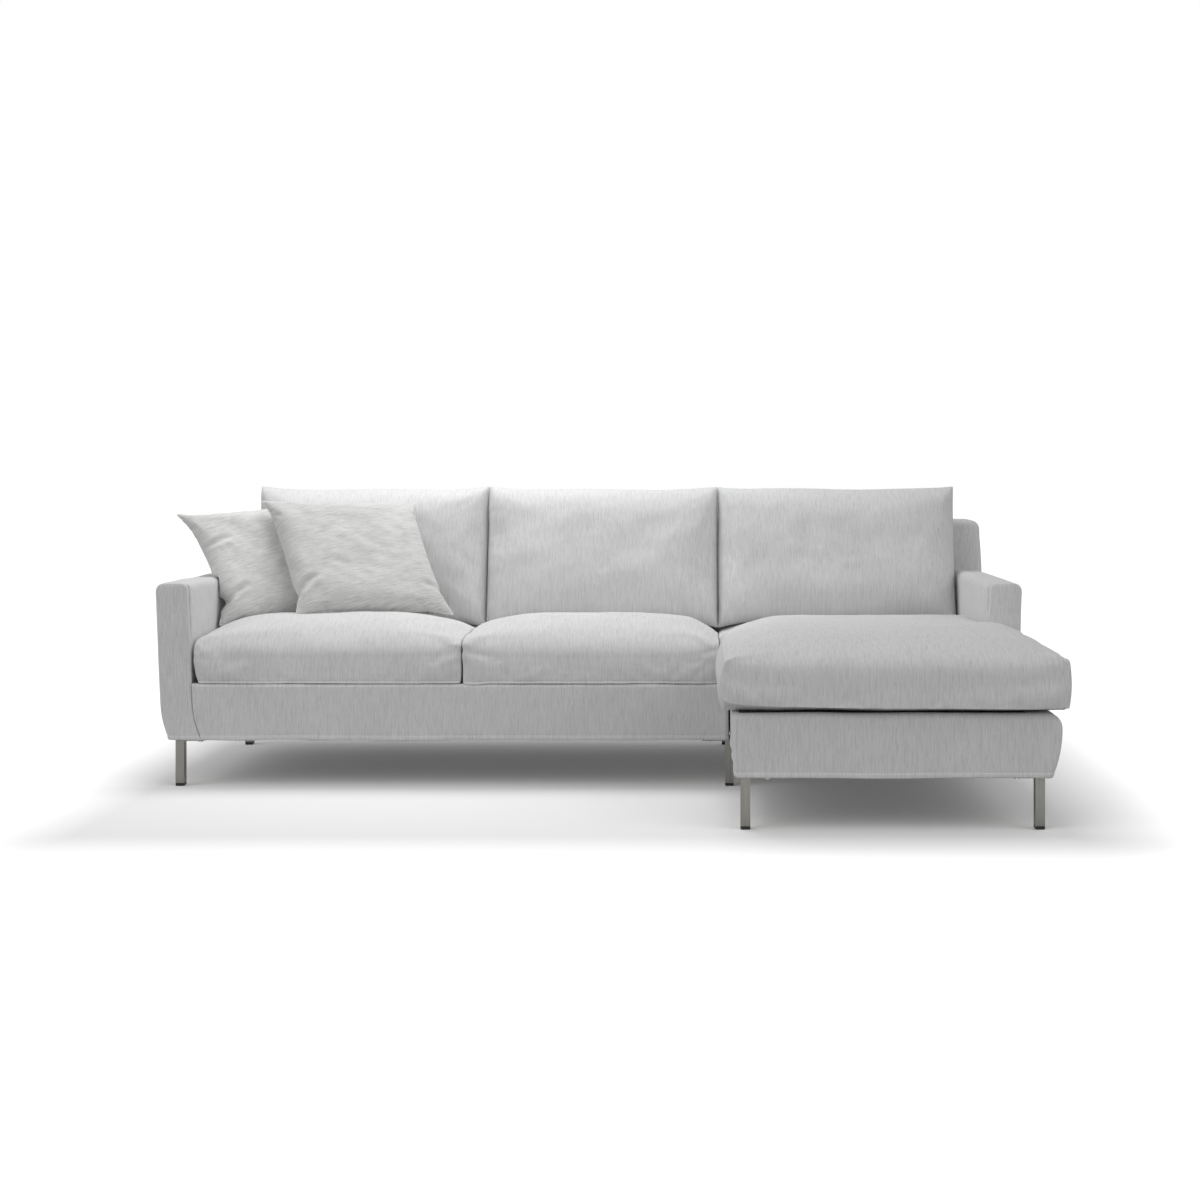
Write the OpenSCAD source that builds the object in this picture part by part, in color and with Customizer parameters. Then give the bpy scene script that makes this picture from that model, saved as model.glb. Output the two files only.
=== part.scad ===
// A modular sofa: a two-seat module with an arm at its left, and a chaise module with an arm at its right.
// X runs along the sofa, Y from its front to its rear, and Z up from the floor. Sizes are in millimetres.

/* [Overall] */
// Width from the outside of one arm to the outside of the other
overall_w = 2510; // [2350:10:2800]
// Depth of the two-seat module, from its front to the top of its back
sofa_d = 890; // [870:5:940]
// Depth of the chaise module's base, from its front to the top of its back
chaise_d = 1520; // [1400:10:1700]
// Width of the chaise module
chaise_w = 845; // [800:5:900]
// Gap between the two modules
module_gap = 5; // [4:0.5:8]

/* [Base] */
// Height of the base's lower edge above the floor
base_z = 136; // [110:2:180]
// Height of the timber rails
rail_h = 122; // [110:2:140]
// Thickness of the timber rails
rail_t = 25; // [20:1:30]
// Thickness of the corner boards that the legs are bolted to
gusset_t = 18; // [15:1:22]
// Side of the corner boards
gusset_w = 130; // [120:5:150]
// Thickness of the seat deck
deck_t = 16; // [12:1:24]
// Thickness of padding and cover on the frames
pad_t = 12; // [10:1:14]
// Thickness of the padded panel at the front of the chaise
chaise_front_t = 24; // [20:1:30]
// Thickness of the woven sheet that closes the underside
dust_t = 1; // [0.8:0.1:2]

/* [Springs] */
// Side of the spring wire
wire = 4; // [3:0.5:5]
// Width of a zigzag spring
spring_w = 54; // [48:2:60]
// Step from one bend of a spring to the next
spring_pitch = 38; // [34:1:44]
// Step from one spring to the next
spring_step = 150; // [120:10:200]
// Thickness of the sheet that a spring clip is bent from
clip_t = 1.6; // [1.2:0.1:2]

/* [Arms] */
// Height of the arms
arm_h = 590; // [560:5:630]
// Thickness of an arm with its padding
arm_t = 100; // [90:2:120]
// Width of the sewn panel on the front of an arm
arm_front_w = 94; // [80:1:100]
// Inward lean of an arm's outer side, in millimetres for each millimetre of height
side_lean = 0.04; // [0.02:0.005:0.05]
// Extra inward curve of the outer side at its foot
foot_in = 22; // [10:1:26]
// Height at which that curve starts
foot_z = 240; // [200:5:260]

/* [Back] */
// Height of the back frame with its cover
back_h = 755; // [720:5:800]
// Thickness of the back
back_t = 165; // [150:5:175]
// Lean of the back, in degrees
back_lean = 6; // [4:0.5:7]

/* [Legs] */
// Side of the square leg tube
leg_w = 25; // [22:1:30]
// Wall of the leg tube
leg_wall = 2; // [1.5:0.5:3]
// Side of the steel plate on top of a leg
plate_w = 85; // [80:1:100]
// Thickness of that plate
plate_t = 5; // [4:0.5:6]
// Height of the plastic glide under a leg
glide_h = 9; // [6:1:14]
// Radius of the leg bolts
bolt_r = 4; // [3:0.5:5]
// Radius of the pins that locate the chaise on the shared legs
pin_r = 6; // [5:0.5:8]

/* [Seat cushions] */
// Height of a seat cushion at its front edge
seat_edge = 113; // [95:1:130]
// Rise of the seat cushion's crown above that edge
seat_crown = 70; // [50:2:80]
// Height of the chaise cushion at its front edge
chaise_edge = 134; // [110:1:145]
// Rise of the chaise cushion's crown above that edge
chaise_crown = 50; // [35:2:60]
// How far the chaise cushion stands out in front of its base
chaise_overhang = 25; // [10:1:30]
// How far the chaise cushion reaches over the gap towards the two-seat module
chaise_reach = 28; // [20:1:34]

/* [Back cushions] */
// Height of a back cushion along its slope
back_cushion_h = 440; // [400:5:470]
// Gap between the left back cushion and the arm, behind the throw pillows
back_arm_gap = 39; // [30:1:60]
// Gap between one back cushion and the next
cushion_gap = 3; // [2:0.5:6]
// Lean of the back cushions, in degrees
cushion_lean = 12; // [11:0.5:12.5]

/* [Throw pillows] */
// Rise of a throw pillow's face above its seam
pillow_crown = 62; // [45:1:70]
// Share by which a pillow's sides draw in between its corners
pillow_draw = 0.1; // [0.06:0.01:0.12]
// How far the rear pillow's corner hangs out past the arm
pillow_ear = 52; // [40:1:60]

/* [Hidden] */

fit = 0.3;
gap = 1;
CLOTH = "gainsboro";
LINEN = "lightgray";
TIMBER = "burlywood";
STEEL = "darkgray";

// Ends, fronts and rear of the modules. The rear pillow's corner counts in the overall width.
x0 = (pillow_ear - overall_w) / 2;
x1 = x0 + overall_w;
xc = x1 - chaise_w;
xs = xc - module_gap;
y_rear = (chaise_d + chaise_overhang) / 2;
yf = y_rear - sofa_d;
yc = y_rear - chaise_d;

// Levels
rail_z = base_z + gusset_t + fit;
rail_top = rail_z + rail_h;
deck_z = rail_top + wire + fit + clip_t + fit;
deck_top = deck_z + deck_t;
cushion_z = deck_top + 0.5;

// Roundings
arm_r = 24;
arm_inner_r = 20;
back_r = 22;
back_end_r = 30;
panel_r = 9;
chaise_panel_r = 22;
chaise_side_r = 45;
arc_n = 6;
curve_n = 9;

// Inward offset of the outer side at a height: it leans in below the arm's top and curves in at its foot.
function side_in(z) = side_lean * max(0, arm_h - arm_r - z)
    + foot_in * pow(max(0, (foot_z - z) / (foot_z - base_z)), 2);
function arc(c, r, a0, a1) = [for (i = [0:arc_n]) let (a = a0 + (a1 - a0) * i / arc_n)
    [c[0] + r * cos(a), c[1] + r * sin(a)]];
// Heights from z_top down to the base's lower edge at which the outer side's curve has its points
function heights(z_top) = concat([z_top],
    [for (i = [0:curve_n]) let (z = foot_z + (base_z - foot_z) * i / curve_n) if (z < z_top - 0.5) z]);
function side_curve(z_top, inset) = [for (z = heights(z_top)) [inset + side_in(z), z]];
function reversed(l) = [for (i = [len(l) - 1:-1:0]) l[i]];

// Front and rear faces of the back, which lean together
function back_rear(z) = y_rear - (back_h - z) * tan(back_lean);
function back_front(z) = back_rear(z) - back_t;

// Extrudes an X-Z outline from one Y to another, and a Y-Z outline from one X to another
module along_y(from, to) { translate([0, to, 0]) rotate([90, 0, 0]) linear_extrude(to - from) children(); }
module along_x(from, to) { translate([from, 0, 0]) rotate([90, 0, 90]) linear_extrude(to - from) children(); }

// A box from its lowest corner to its highest
module box(a, b) { translate(a) cube(b - a); }

// The ends of the sofa are built inward from the arm's outside, with u growing inward
module left_end() { translate([x0, 0, 0]) children(); }
module right_end() { translate([x1, 0, 0]) mirror([1, 0, 0]) children(); }

// Rear edge of the base pieces, which follow the lean of the back
module base_side(front, z_low, z_high, rear_gap) {
    polygon([[front, z_low], [back_front(z_low) - rear_gap, z_low],
        [back_front(z_high) - rear_gap, z_high], [front, z_high]]);
}

// Outline of an arm, or of what lies inside it, drawn in by the inset and lengthened down to the bottom
module arm_outline(inset = 0, bottom = base_z) {
    r = arm_r - inset / 2;
    inner_r = arm_inner_r / 2;
    polygon(concat([[arm_t - inset, bottom]],
        arc([arm_t - inset - inner_r, arm_h - inset - inner_r], inner_r, 0, 90),
        arc([inset + r, arm_h - inset - r], r, 90, 180),
        side_curve(arm_h - inset - r - 1, inset), [[inset + side_in(base_z), bottom - 0.01]]));
}

member = 70;
arm_post = 150;
module arm_frame() {
    rear = back_front(arm_h);
    intersection() {
        along_y(yf + pad_t + fit, rear) arm_outline(pad_t + fit);
        along_x(0, arm_t) base_side(yf + pad_t + fit, rail_z, arm_h, pad_t + fit);
        union() {
            box([0, yf, rail_z], [arm_t, yf + member, arm_h]);
            box([0, rear - arm_post, rail_z], [arm_t, rear, arm_h]);
            box([0, yf, rail_z], [arm_t, rear, rail_z + member]);
            box([0, yf, arm_h - member], [arm_t, rear, arm_h]);
        }
    }
}

// Padded cover of an arm, open underneath and, below the seat deck, towards the base frame
lip = 10;
module arm_cover() {
    front = yf + pad_t + fit;
    difference() {
        intersection() {
            along_y(front, back_front(arm_h)) arm_outline();
            along_x(0, arm_t) base_side(front, base_z, arm_h, fit);
        }
        intersection() {
            along_y(front - 1, back_front(arm_h)) arm_outline(pad_t, base_z - 1);
            along_x(-1, arm_t) base_side(front - 1, base_z - 1, arm_h, pad_t);
        }
        box([side_in(base_z) + pad_t + lip, front - 1, base_z - 1],
            [arm_t + 1, back_front(deck_z) + 1, deck_z - fit]);
    }
}

// Sewn panel on the front of an arm. Below the height low it narrows, to clear the base frame beside it.
module arm_front_panel(low) {
    top = arm_h - arm_inner_r;
    rail_side = arm_t - pad_t;
    along_y(yf, yf + pad_t) polygon(concat(
        low > base_z ? [[rail_side, base_z], [rail_side, low]] : [],
        [for (z = reversed(heights(top))) if (z >= low) [arm_front_w + side_in(z), z]],
        arc([arm_front_w - arm_inner_r, top], arm_inner_r, 10, 90),
        arc([arm_r, arm_h - arm_r], arm_r, 90, 180),
        side_curve(arm_h - arm_r - 1, 0)));
}

// The back's section, and its outline seen from the front for a module of width w
module back_section(inset, bottom) {
    top = back_h - inset;
    r = back_r - inset / 2;
    front = back_front(top) + inset;
    rear = back_rear(top) - inset;
    polygon(concat([[back_front(bottom) + inset, bottom], [back_rear(bottom) - inset, bottom]],
        arc([rear - r, top - r], r, 0, 90), arc([front + r, top - r], r, 90, 180)));
}
module back_outline(w, inset, bottom) {
    top = back_h - inset;
    r = back_end_r - inset / 2;
    lean = side_lean * (back_h - arm_h) / 2;
    polygon(concat([[w - inset, bottom], [w - inset, top]], arc([lean + inset + r, top - r], r, 90, 180),
        side_curve(arm_h, inset), [[inset + side_in(base_z), bottom - 0.01]]));
}
module back_solid(w, inset, bottom) {
    intersection() {
        along_x(0, w) back_section(inset, bottom);
        along_y(yf, y_rear + 1) back_outline(w, inset, bottom);
    }
}

// Padded cover of a back, open underneath and, below the seat deck, towards the base frame
module back_cover(w) {
    difference() {
        back_solid(w, 0, base_z);
        back_solid(w, pad_t, base_z - 1);
        box([side_in(base_z) + pad_t, back_front(base_z) - 1, base_z - 1],
            [w - pad_t, back_front(deck_z) + pad_t + lip, deck_z - fit]);
    }
}

module back_frame(w) {
    intersection() {
        back_solid(w, pad_t + fit, base_z);
        union() {
            for (x = [0, (w - member) / 2, w - member])
                box([x, yf, rail_z], [x + member, y_rear, back_h]);
            box([0, yf, rail_z], [w, y_rear, rail_z + member]);
            box([0, yf, back_h - member], [w, y_rear, back_h]);
        }
    }
}

// Rails of a base frame between two X positions, starting at the front Y. The cross rails between them are
// lower by cross_drop, clear of the springs.
cross_drop = 30;
rear_face = back_front(base_z) + pad_t - fit;
module front_rail(a, b, front) { box([a, front, rail_z], [b, front + rail_t, rail_top]); }
module rear_rail(a, b) { box([a, rear_face - rail_t, rail_z], [b, rear_face, rail_top]); }
module end_rails(a, b, front) {
    for (x = [a, b - rail_t])
        box([x, front + rail_t + fit, rail_z], [x + rail_t, rear_face - rail_t - fit, rail_top]);
}

// A corner board, drawn inward from its outer corner in the directions given, with its bolt or pin holes
board_in = 3;
bolt_near = 16.5;
bolt_far = plate_w - bolt_near;
plate_holes = [[bolt_far, bolt_near], [bolt_near, bolt_far], [bolt_far, bolt_far]];
module corner_board(corner, dir, holes, r) {
    translate([corner[0], corner[1], base_z]) difference() {
        translate([min(0, dir[0] * gusset_w), min(0, dir[1] * gusset_w), 0])
            cube([gusset_w, gusset_w, gusset_t]);
        for (h = holes)
            translate([dir[0] * h[0], dir[1] * h[1], -1]) cylinder(r = r, h = gusset_t + 2, $fn = 32);
    }
}

// Outer corners of the corner boards
side_cavity = side_in(base_z) + pad_t + fit;
front_edge = yf + pad_t + 2 * fit;
rear_edge = back_rear(base_z) - pad_t - 2 * fit;
chaise_front_edge = yc + chaise_front_t + fit;
sofa_left = x0 + side_cavity;
sofa_right = xs - pad_t - fit;
chaise_left = xc + pad_t + fit;
chaise_right = x1 - side_cavity;
joint_x = (xs + xc) / 2;
joint_reach = plate_w - 5;
joint_bolt_x = joint_reach - 20;
joint_pin_x = joint_reach - 25;
joint_bolts = [for (y = [bolt_near, bolt_far]) [sofa_right - joint_x + joint_bolt_x, board_in + y]];
pin_y = board_in + plate_w / 2;
board_holes = [for (h = plate_holes) h + [board_in, board_in]];

module leg_tube(x, y) {
    h = base_z - glide_h - plate_t;
    bore = leg_w - 2 * leg_wall;
    translate([x, y, glide_h]) difference() {
        cube([leg_w, leg_w, h + 0.01]);
        translate([leg_wall, leg_wall, -1]) cube([bore, bore, h + 1]);
    }
}

// A leg with its plate, drawn inward from its outer corner
module leg(corner, dir) {
    c = corner + board_in * dir;
    bevel = 8;
    leg_tube(c[0] + min(0, dir[0] * leg_w), c[1] + min(0, dir[1] * leg_w));
    translate([c[0], c[1], base_z - plate_t]) difference() {
        turn_to(dir) linear_extrude(plate_t) polygon([[0, 0], [plate_w - bevel, 0], [plate_w, bevel],
            [plate_w, plate_w], [bevel, plate_w], [0, plate_w - bevel]]);
        for (h = plate_holes) translate([dir[0] * h[0], dir[1] * h[1], -1])
            cylinder(r = bolt_r + fit, h = plate_t + 2, $fn = 32);
    }
}
module turn_to(dir) {
    mirror([dir[0] < 0 ? 1 : 0, 0, 0]) mirror([0, dir[1] < 0 ? 1 : 0, 0]) children();
}

// A shared leg under the gap between the modules. It is bolted to the two-seat module, and carries a pin
// for the chaise module.
module joint_leg(edge, s) {
    y = edge + s * board_in;
    leg_tube(joint_x - leg_w / 2, y + min(0, s * leg_w));
    difference() {
        union() {
            box([joint_x - joint_reach, y + min(0, s * plate_w), base_z - plate_t],
                [joint_x, y + max(0, s * plate_w), base_z]);
            box([joint_x - 1, y + min(0, s * plate_w), base_z - plate_t],
                [joint_x + joint_reach, y + max(0, s * plate_w), base_z - fit]);
        }
        for (b = [bolt_near, bolt_far]) translate([joint_x - joint_bolt_x, y + s * b, base_z - plate_t - 1])
            cylinder(r = bolt_r + fit, h = plate_t + 2, $fn = 32);
        translate([joint_x + joint_pin_x, y + s * plate_w / 2, base_z - plate_t - 1])
            cylinder(r = pin_r - 1 + 0.1, h = plate_t + 2, $fn = 32);
    }
}

// A shouldered pin pressed into a shared leg's plate, which reaches up into the chaise's corner board
module connector_pin(edge, s) {
    tip = 4;
    pin_top = base_z + gusset_t - 1;
    translate([joint_x + joint_pin_x, edge + s * pin_y, 0]) {
        translate([0, 0, base_z - plate_t]) cylinder(r = pin_r - 1, h = plate_t, $fn = 48);
        translate([0, 0, base_z - fit]) cylinder(r = pin_r, h = pin_top - tip - base_z + fit, $fn = 48);
        translate([0, 0, pin_top - tip]) cylinder(r1 = pin_r, r2 = pin_r - 3, h = tip, $fn = 48);
    }
}

// A glide caps the tube's end, with a plug inside the tube
module glide(x, y) {
    foot = 2;
    step = 1.5;
    plug_h = 16;
    plug = leg_w - 2 * leg_wall - 2 * fit;
    translate([x, y, 0]) {
        translate([step, step, 0]) cube([leg_w - 2 * step, leg_w - 2 * step, foot]);
        translate([0, 0, foot]) cube([leg_w, leg_w, glide_h - foot]);
        translate([leg_wall + fit, leg_wall + fit, glide_h - 0.01]) cube([plug, plug, plug_h]);
    }
}
module leg_glide(corner, dir) {
    c = corner + board_in * dir;
    glide(c[0] + min(0, dir[0] * leg_w), c[1] + min(0, dir[1] * leg_w));
}

module bolt(x, y) {
    head_h = 4;
    translate([x, y, base_z - plate_t]) {
        translate([0, 0, -head_h]) cylinder(r = bolt_r + 3, h = head_h, $fn = 32);
        translate([0, 0, -0.01]) cylinder(r = bolt_r, h = plate_t + gusset_t - 2, $fn = 32);
    }
}
module leg_bolts(corner, dir) {
    for (h = board_holes) bolt(corner[0] + dir[0] * h[0], corner[1] + dir[1] * h[1]);
}

// A zigzag spring along X, from one rail's outer face at the origin to the other's: cross bars joined by half
// rings. Its step from bend to bend is fitted so that both end bars lie on the rails.
spring_end = 12;
function bends(span) = round((span - 2 * spring_end) / spring_pitch);
function bend_step(span) = (span - 2 * spring_end) / bends(span);
module zigzag(span) {
    step = bend_step(span);
    reach = (spring_w - step) / 2;
    translate([spring_end, 0, 0]) linear_extrude(wire) {
        for (i = [0:bends(span)])
            translate([i * step - wire / 2, -reach]) square([wire, 2 * reach]);
        for (i = [0:bends(span) - 1]) translate([(i + 0.5) * step, (i % 2 == 0 ? 1 : -1) * reach])
            difference() {
                circle(r = (step + wire) / 2, $fn = 24);
                circle(r = (step - wire) / 2, $fn = 24);
                translate([-step, i % 2 == 0 ? -step : 0]) square([2 * step, step]);
            }
    }
}

// The clip over a spring's end bar, which lies along Y at the origin
module clip(half_w) {
    in = wire / 2 + fit;
    out = in + clip_t;
    foot = out + 6;
    top = wire + fit;
    along_y(-half_w, half_w) polygon([[-foot, 0], [-in, 0], [-in, top], [in, top], [in, 0], [out, 0],
        [out, top + clip_t], [-out, top + clip_t], [-out, clip_t], [-foot, clip_t]]);
}
module clips(span) {
    half_w = (spring_w - bend_step(span)) / 2;
    translate([spring_end, 0, 0]) clip(half_w);
    translate([span - spring_end, 0, 0]) mirror([1, 0, 0]) clip(half_w);
}
function spring_places(a, b) = let (n = floor((b - a - spring_w) / spring_step))
    [for (i = [0:n]) (a + b) / 2 + (i - n / 2) * spring_step];

// Insides of the two base frames
sofa_in_l = x0 + arm_t - pad_t + fit;
sofa_in_r = xs - pad_t - fit;
chaise_in_l = xc + pad_t + fit;
chaise_in_r = x1 - arm_t + pad_t - fit;
sofa_rail_y = yf + pad_t + fit;
chaise_rail_y = yc + chaise_front_t + fit;
module sofa_springs_at() {
    for (x = spring_places(sofa_in_l + rail_t, sofa_in_r - rail_t))
        translate([x, sofa_rail_y, rail_top]) rotate([0, 0, 90]) children();
}
module chaise_springs_at() {
    for (y = spring_places(chaise_rail_y + rail_t, rear_face - rail_t))
        translate([chaise_in_l, y, rail_top]) children();
}
sofa_span = rear_face - sofa_rail_y;
chaise_span = chaise_in_r - chaise_in_l;

// Soft forms are lofted through loops of points. A loop runs round a rounded rectangle of half sizes a and b,
// with points at the given shares of each side and one on each corner.
function loop(a, b, r, sx, sy) = let (k = r * (1 - cos(45))) concat(
    [for (s = sy) [a, s * (b - r)]], [[a - k, b - k]], [for (s = sx) [-s * (a - r), b]], [[-a + k, b - k]],
    [for (s = sy) [-a, -s * (b - r)]], [[-a + k, -b + k]],
    [for (s = sx) [s * (a - r), -b]], [[a - k, -b + k]]);
function flat(l) = [for (a = l) for (b = a) b];
function centre(l) = [for (k = [0:2]) [for (p = l) p[k]] * [for (p = l) 1 / len(l)]];

module loft(rings) {
    n = len(rings[0]);
    k = len(rings);
    polyhedron(points = concat(flat(rings), [centre(rings[0]), centre(rings[k - 1])]),
        faces = concat(
            [for (j = [0:k - 2]) for (i = [0:n - 1]) [j * n + i, (j + 1) * n + i, (j + 1) * n + (i + 1) % n]],
            [for (j = [0:k - 2]) for (i = [0:n - 1])
                [j * n + i, (j + 1) * n + (i + 1) % n, j * n + (i + 1) % n]],
            [for (i = [0:n - 1]) [n * k, i, (i + 1) % n]],
            [for (i = [0:n - 1]) [n * k + 1, (k - 1) * n + (i + 1) % n, (k - 1) * n + i]]));
}

// Height of a seat's crown along its depth, v from -1 at the front to 1 at the rear: it rises to a peak,
// and falls to a low shelf where the back cushion stands. The powers bend the rise and the fall.
shelf = 0.2;
rise_power = 2.4;
fall_power = 1.5;
function hump(v, peak, end, low) = v < peak ? 1 - pow((peak - v) / (peak + 1), rise_power)
    : v < end ? low + (1 - low) * (1 - pow((v - peak) / (end - peak), fall_power)) : low;

// Loops of a boxed cushion with a crowned top. Its height at the sides follows the function edge, and its
// width steps in to w_rear behind the share v_step of its depth.
function boxed(w, d, edge, crown, sides, rise, r, sx, sy, w_rear, v_step, tops) =
    let (a = w / 2, b = d / 2, rim = loop(a, b, r, sx, sy),
        narrow = function (p) p[1] > v_step * b ? w_rear / w : 1,
        across = function (p, t, inset) -a + (t * p[0] / a * (1 - inset / a) + 1) * a * narrow(p),
        along = function (p, t) v_step + t * (p[1] / b - v_step),
        top = function (p, t) edge(along(p, t)) + crown * (1 - pow(abs(t * p[0] / a), 4)) * rise(along(p, t)))
    concat([for (s = sides) [for (p = rim)
            [across(p, 1, s[1]), p[1] * (1 - s[1] / b), s[0] * edge(p[1] / b)]]],
        [for (t = tops) [for (p = rim) [across(p, t, 0), along(p, t) * b, top(p, t)]]]);

plump_power = 2.6;
function full(share) = 1 - pow(abs(share), plump_power);
// Loops of a cushion with a seam round its edge and both faces crowned. Its left, right, lower and upper
// sides draw in between the corners by the shares in draw.
function padded(w, h, band, front, rear, draw, r, s, tops) =
    let (a = w / 2, b = h / 2, rim = loop(a, b, r, s, s),
        pull = function (u, v, low, high) u * (1 - (u < 0 ? low : high) * (1 - v * v) * pow(abs(u), 2)),
        drawn = [for (p = rim) [a * pull(p[0] / a, p[1] / b, draw[0], draw[1]),
            b * pull(p[1] / b, p[0] / a, draw[2], draw[3])]],
        plump = function (p, t) full(t * p[0] / a) * full(t * p[1] / b),
        ring = function (t, z, rise) [for (i = [0:len(rim) - 1])
            [t * drawn[i][0], t * drawn[i][1], z + rise * plump(rim[i], t)]])
    concat([for (i = [len(tops) - 1:-1:0]) ring(tops[i], -band, -rear)],
        [ring(1, -band, 0), ring(1, band, 0)], [for (t = tops) ring(t, band, front)]);

fine = [-0.96, -0.7, -0.38, 0, 0.38, 0.7, 0.96];
coarse = [-0.9, 0, 0.9];
side_rings = [[0, 9], [0.07, 2], [0.35, 0], [0.7, 0], [0.94, 2], [1, 8]];
core_rings = [[0, 0], [1, 0]];
fine_tops = [0.93, 0.84, 0.7, 0.5, 0.25];
coarse_tops = [0.8, 0.4];
wrap = 22;
seat_corner = 26;

// Seat cushions lie between the arm, the middle of the seat and the chaise cushion
seat_arm_gap = 9;
seat_l = x0 + arm_t + seat_arm_gap;
seat_r = xc - chaise_reach - cushion_gap;
seat_mid = (x0 + arm_t + xs) / 2 + 6;
seat_ends = [[seat_l, seat_mid - gap], [seat_mid + gap, seat_r]];
seat_front = yf + 2;
seat_depth = back_front(cushion_z) - cushion_gap - seat_front;
seat_rise = function (v) hump(v, -0.3, 0.45, shelf);
module seat_form(i, inset, rings, tops, s) {
    ends = seat_ends[i];
    w = ends[1] - ends[0] - 2 * inset;
    translate([(ends[0] + ends[1]) / 2, seat_front + seat_depth / 2, cushion_z + inset])
        loft(boxed(w, seat_depth - 2 * inset, function (v) seat_edge - 2 * inset, seat_crown - inset / 2,
            rings, seat_rise, seat_corner, s, s, w, 0, tops));
}
module seat_cover(i) {
    difference() {
        seat_form(i, 0, side_rings, fine_tops, fine);
        seat_form(i, wrap, core_rings, coarse_tops, coarse);
    }
}
module seat_foam(i) { seat_form(i, wrap + fit, core_rings, coarse_tops, coarse); }

// The chaise cushion is wide in front of the arm and narrow beside it
chaise_l = xc - chaise_reach;
chaise_wide = x1 - chaise_l;
chaise_narrow = x1 - arm_t - cushion_gap - chaise_l;
chaise_cushion_y = yc - chaise_overhang;
chaise_cushion_d = back_front(cushion_z) - cushion_gap - chaise_cushion_y;
step_v = 2 * (yf - cushion_gap - chaise_cushion_y) / chaise_cushion_d - 1;
rear_top = seat_edge + shelf * seat_crown;
chaise_rear_rise = 4;
chaise_rise = function (v) v < 0.45 ? hump(v, -0.45, 0.1, 0.85)
    : 0.85 * hump(v, 0.45, 0.72, chaise_rear_rise / (0.85 * chaise_crown));
chaise_edge_at = function (v) let (rear = rear_top - chaise_rear_rise)
    v < -0.3 ? chaise_edge : rear + (chaise_edge - rear) * hump(v, -0.3, 0.5, 0);
module chaise_form(inset, rings, tops, sx, front_s, rear_s) {
    d = chaise_cushion_d - 2 * inset;
    step = (step_v * chaise_cushion_d - 2 * inset) / d;
    step_s = step * d / (d - 2 * seat_corner);
    translate([chaise_l + chaise_wide / 2, chaise_cushion_y + chaise_cushion_d / 2, cushion_z + inset])
        loft(boxed(chaise_wide - 2 * inset, d, function (v) chaise_edge_at(v) - 2 * inset,
            chaise_crown - inset / 2, rings, chaise_rise, seat_corner, sx,
            concat(front_s, [step_s - 0.04, step_s + 0.001], rear_s), chaise_narrow - 2 * inset, step, tops));
}

// Back cushions stand on the shelf of the seat cushions and lean on the back
cushion_band = 15;
cushion_front = 85;
cushion_back = 68;
cushion_draw = [0.02, 0.02, 0, 0.02];
back_corner = 16;
back_foot_z = cushion_z + rear_top + cushion_band * sin(cushion_lean) + fit;
// How far a cushion's rear face, at the share v of its height, reaches through the back if its foot is at Y 0
function behind(v) = let (s = (1 + v) * back_cushion_h / 2,
    d = cushion_band + cushion_back * full(v),
    z = back_foot_z + s * cos(cushion_lean) - d * sin(cushion_lean))
    s * sin(cushion_lean) + d * cos(cushion_lean) - back_front(z);
back_foot = [0, -max([for (v = [-1:0.1:1]) behind(v)]) - fit, back_foot_z];
module back_form(w, inset, tops, s) {
    translate([0, back_cushion_h / 2, 0])
        loft(padded(w - 2 * inset, back_cushion_h - 2 * inset, cushion_band - inset / 4,
            cushion_front - inset / 2, cushion_back - inset / 2, cushion_draw, back_corner, s, tops));
}
module back_at(x) { translate(back_foot + [x, 0, 0]) rotate([90 - cushion_lean, 0, 0]) children(); }
module back_cushion(w) {
    difference() {
        back_form(w, 0, fine_tops, fine);
        back_form(w, wrap, coarse_tops, coarse);
    }
}
module back_insert(w) { back_form(w, wrap + fit, coarse_tops, coarse); }
back_l = x0 + arm_t + back_arm_gap;
back_cushion_w = (seat_r - back_l - cushion_gap) / 2;
chaise_back_w = chaise_narrow - 2 * 4;
back_middle_x = seat_r - back_cushion_w / 2;
back_left_x = back_middle_x - back_cushion_w - cushion_gap;
back_right_x = chaise_l + chaise_narrow - chaise_back_w / 2;

// A throw pillow is stretched between its four corners: lower left, lower right, upper right, upper left.
// Each corner is given from the arm's inside, the seat's front edge and the deck.
pillow_origin = [x0 + arm_t, yf, deck_top];
rear_corners = [[22, 262, 154.2], [435, 440, 184.8], [257, 580, 518], [-arm_t - pillow_ear, 385, 481]];
front_corners = [[267, 182, 181.5], [712, 362, 176.5], [562, 575, 509.8], [108, 400, 522.8]];
rear_draw = [3, 1, 0, 0.8] * pillow_draw;
front_draw = [1, 1, 0.3, 0.8] * pillow_draw;
pillow_wrap = 8;
function unit(v) = v / norm(v);
function pillow_point(c, p) = let (s = (p[0] + 1) / 2, t = (p[1] + 1) / 2)
    (1 - s) * (1 - t) * c[0] + s * (1 - t) * c[1] + s * t * c[2] + (1 - s) * t * c[3];
module pillow_form(c, draw, inset, tops, s) {
    normal = unit(cross(c[1] - c[0], c[3] - c[0]));
    side = 2 - 4 * inset / norm(c[1] - c[0]);
    rise = pillow_crown - inset;
    band = 2 - inset / 20;
    translate(pillow_origin) loft([for (ring = padded(side, side, band, rise, rise, draw, 0.03, s, tops))
        [for (p = ring) pillow_point(c, p) + p[2] * normal]]);
}
module pillow(c, draw) {
    difference() {
        pillow_form(c, draw, 0, fine_tops, fine);
        pillow_form(c, draw, pillow_wrap, coarse_tops, coarse);
    }
}
module pillow_insert(c, draw) { pillow_form(c, draw, pillow_wrap + fit, coarse_tops, coarse); }

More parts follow.
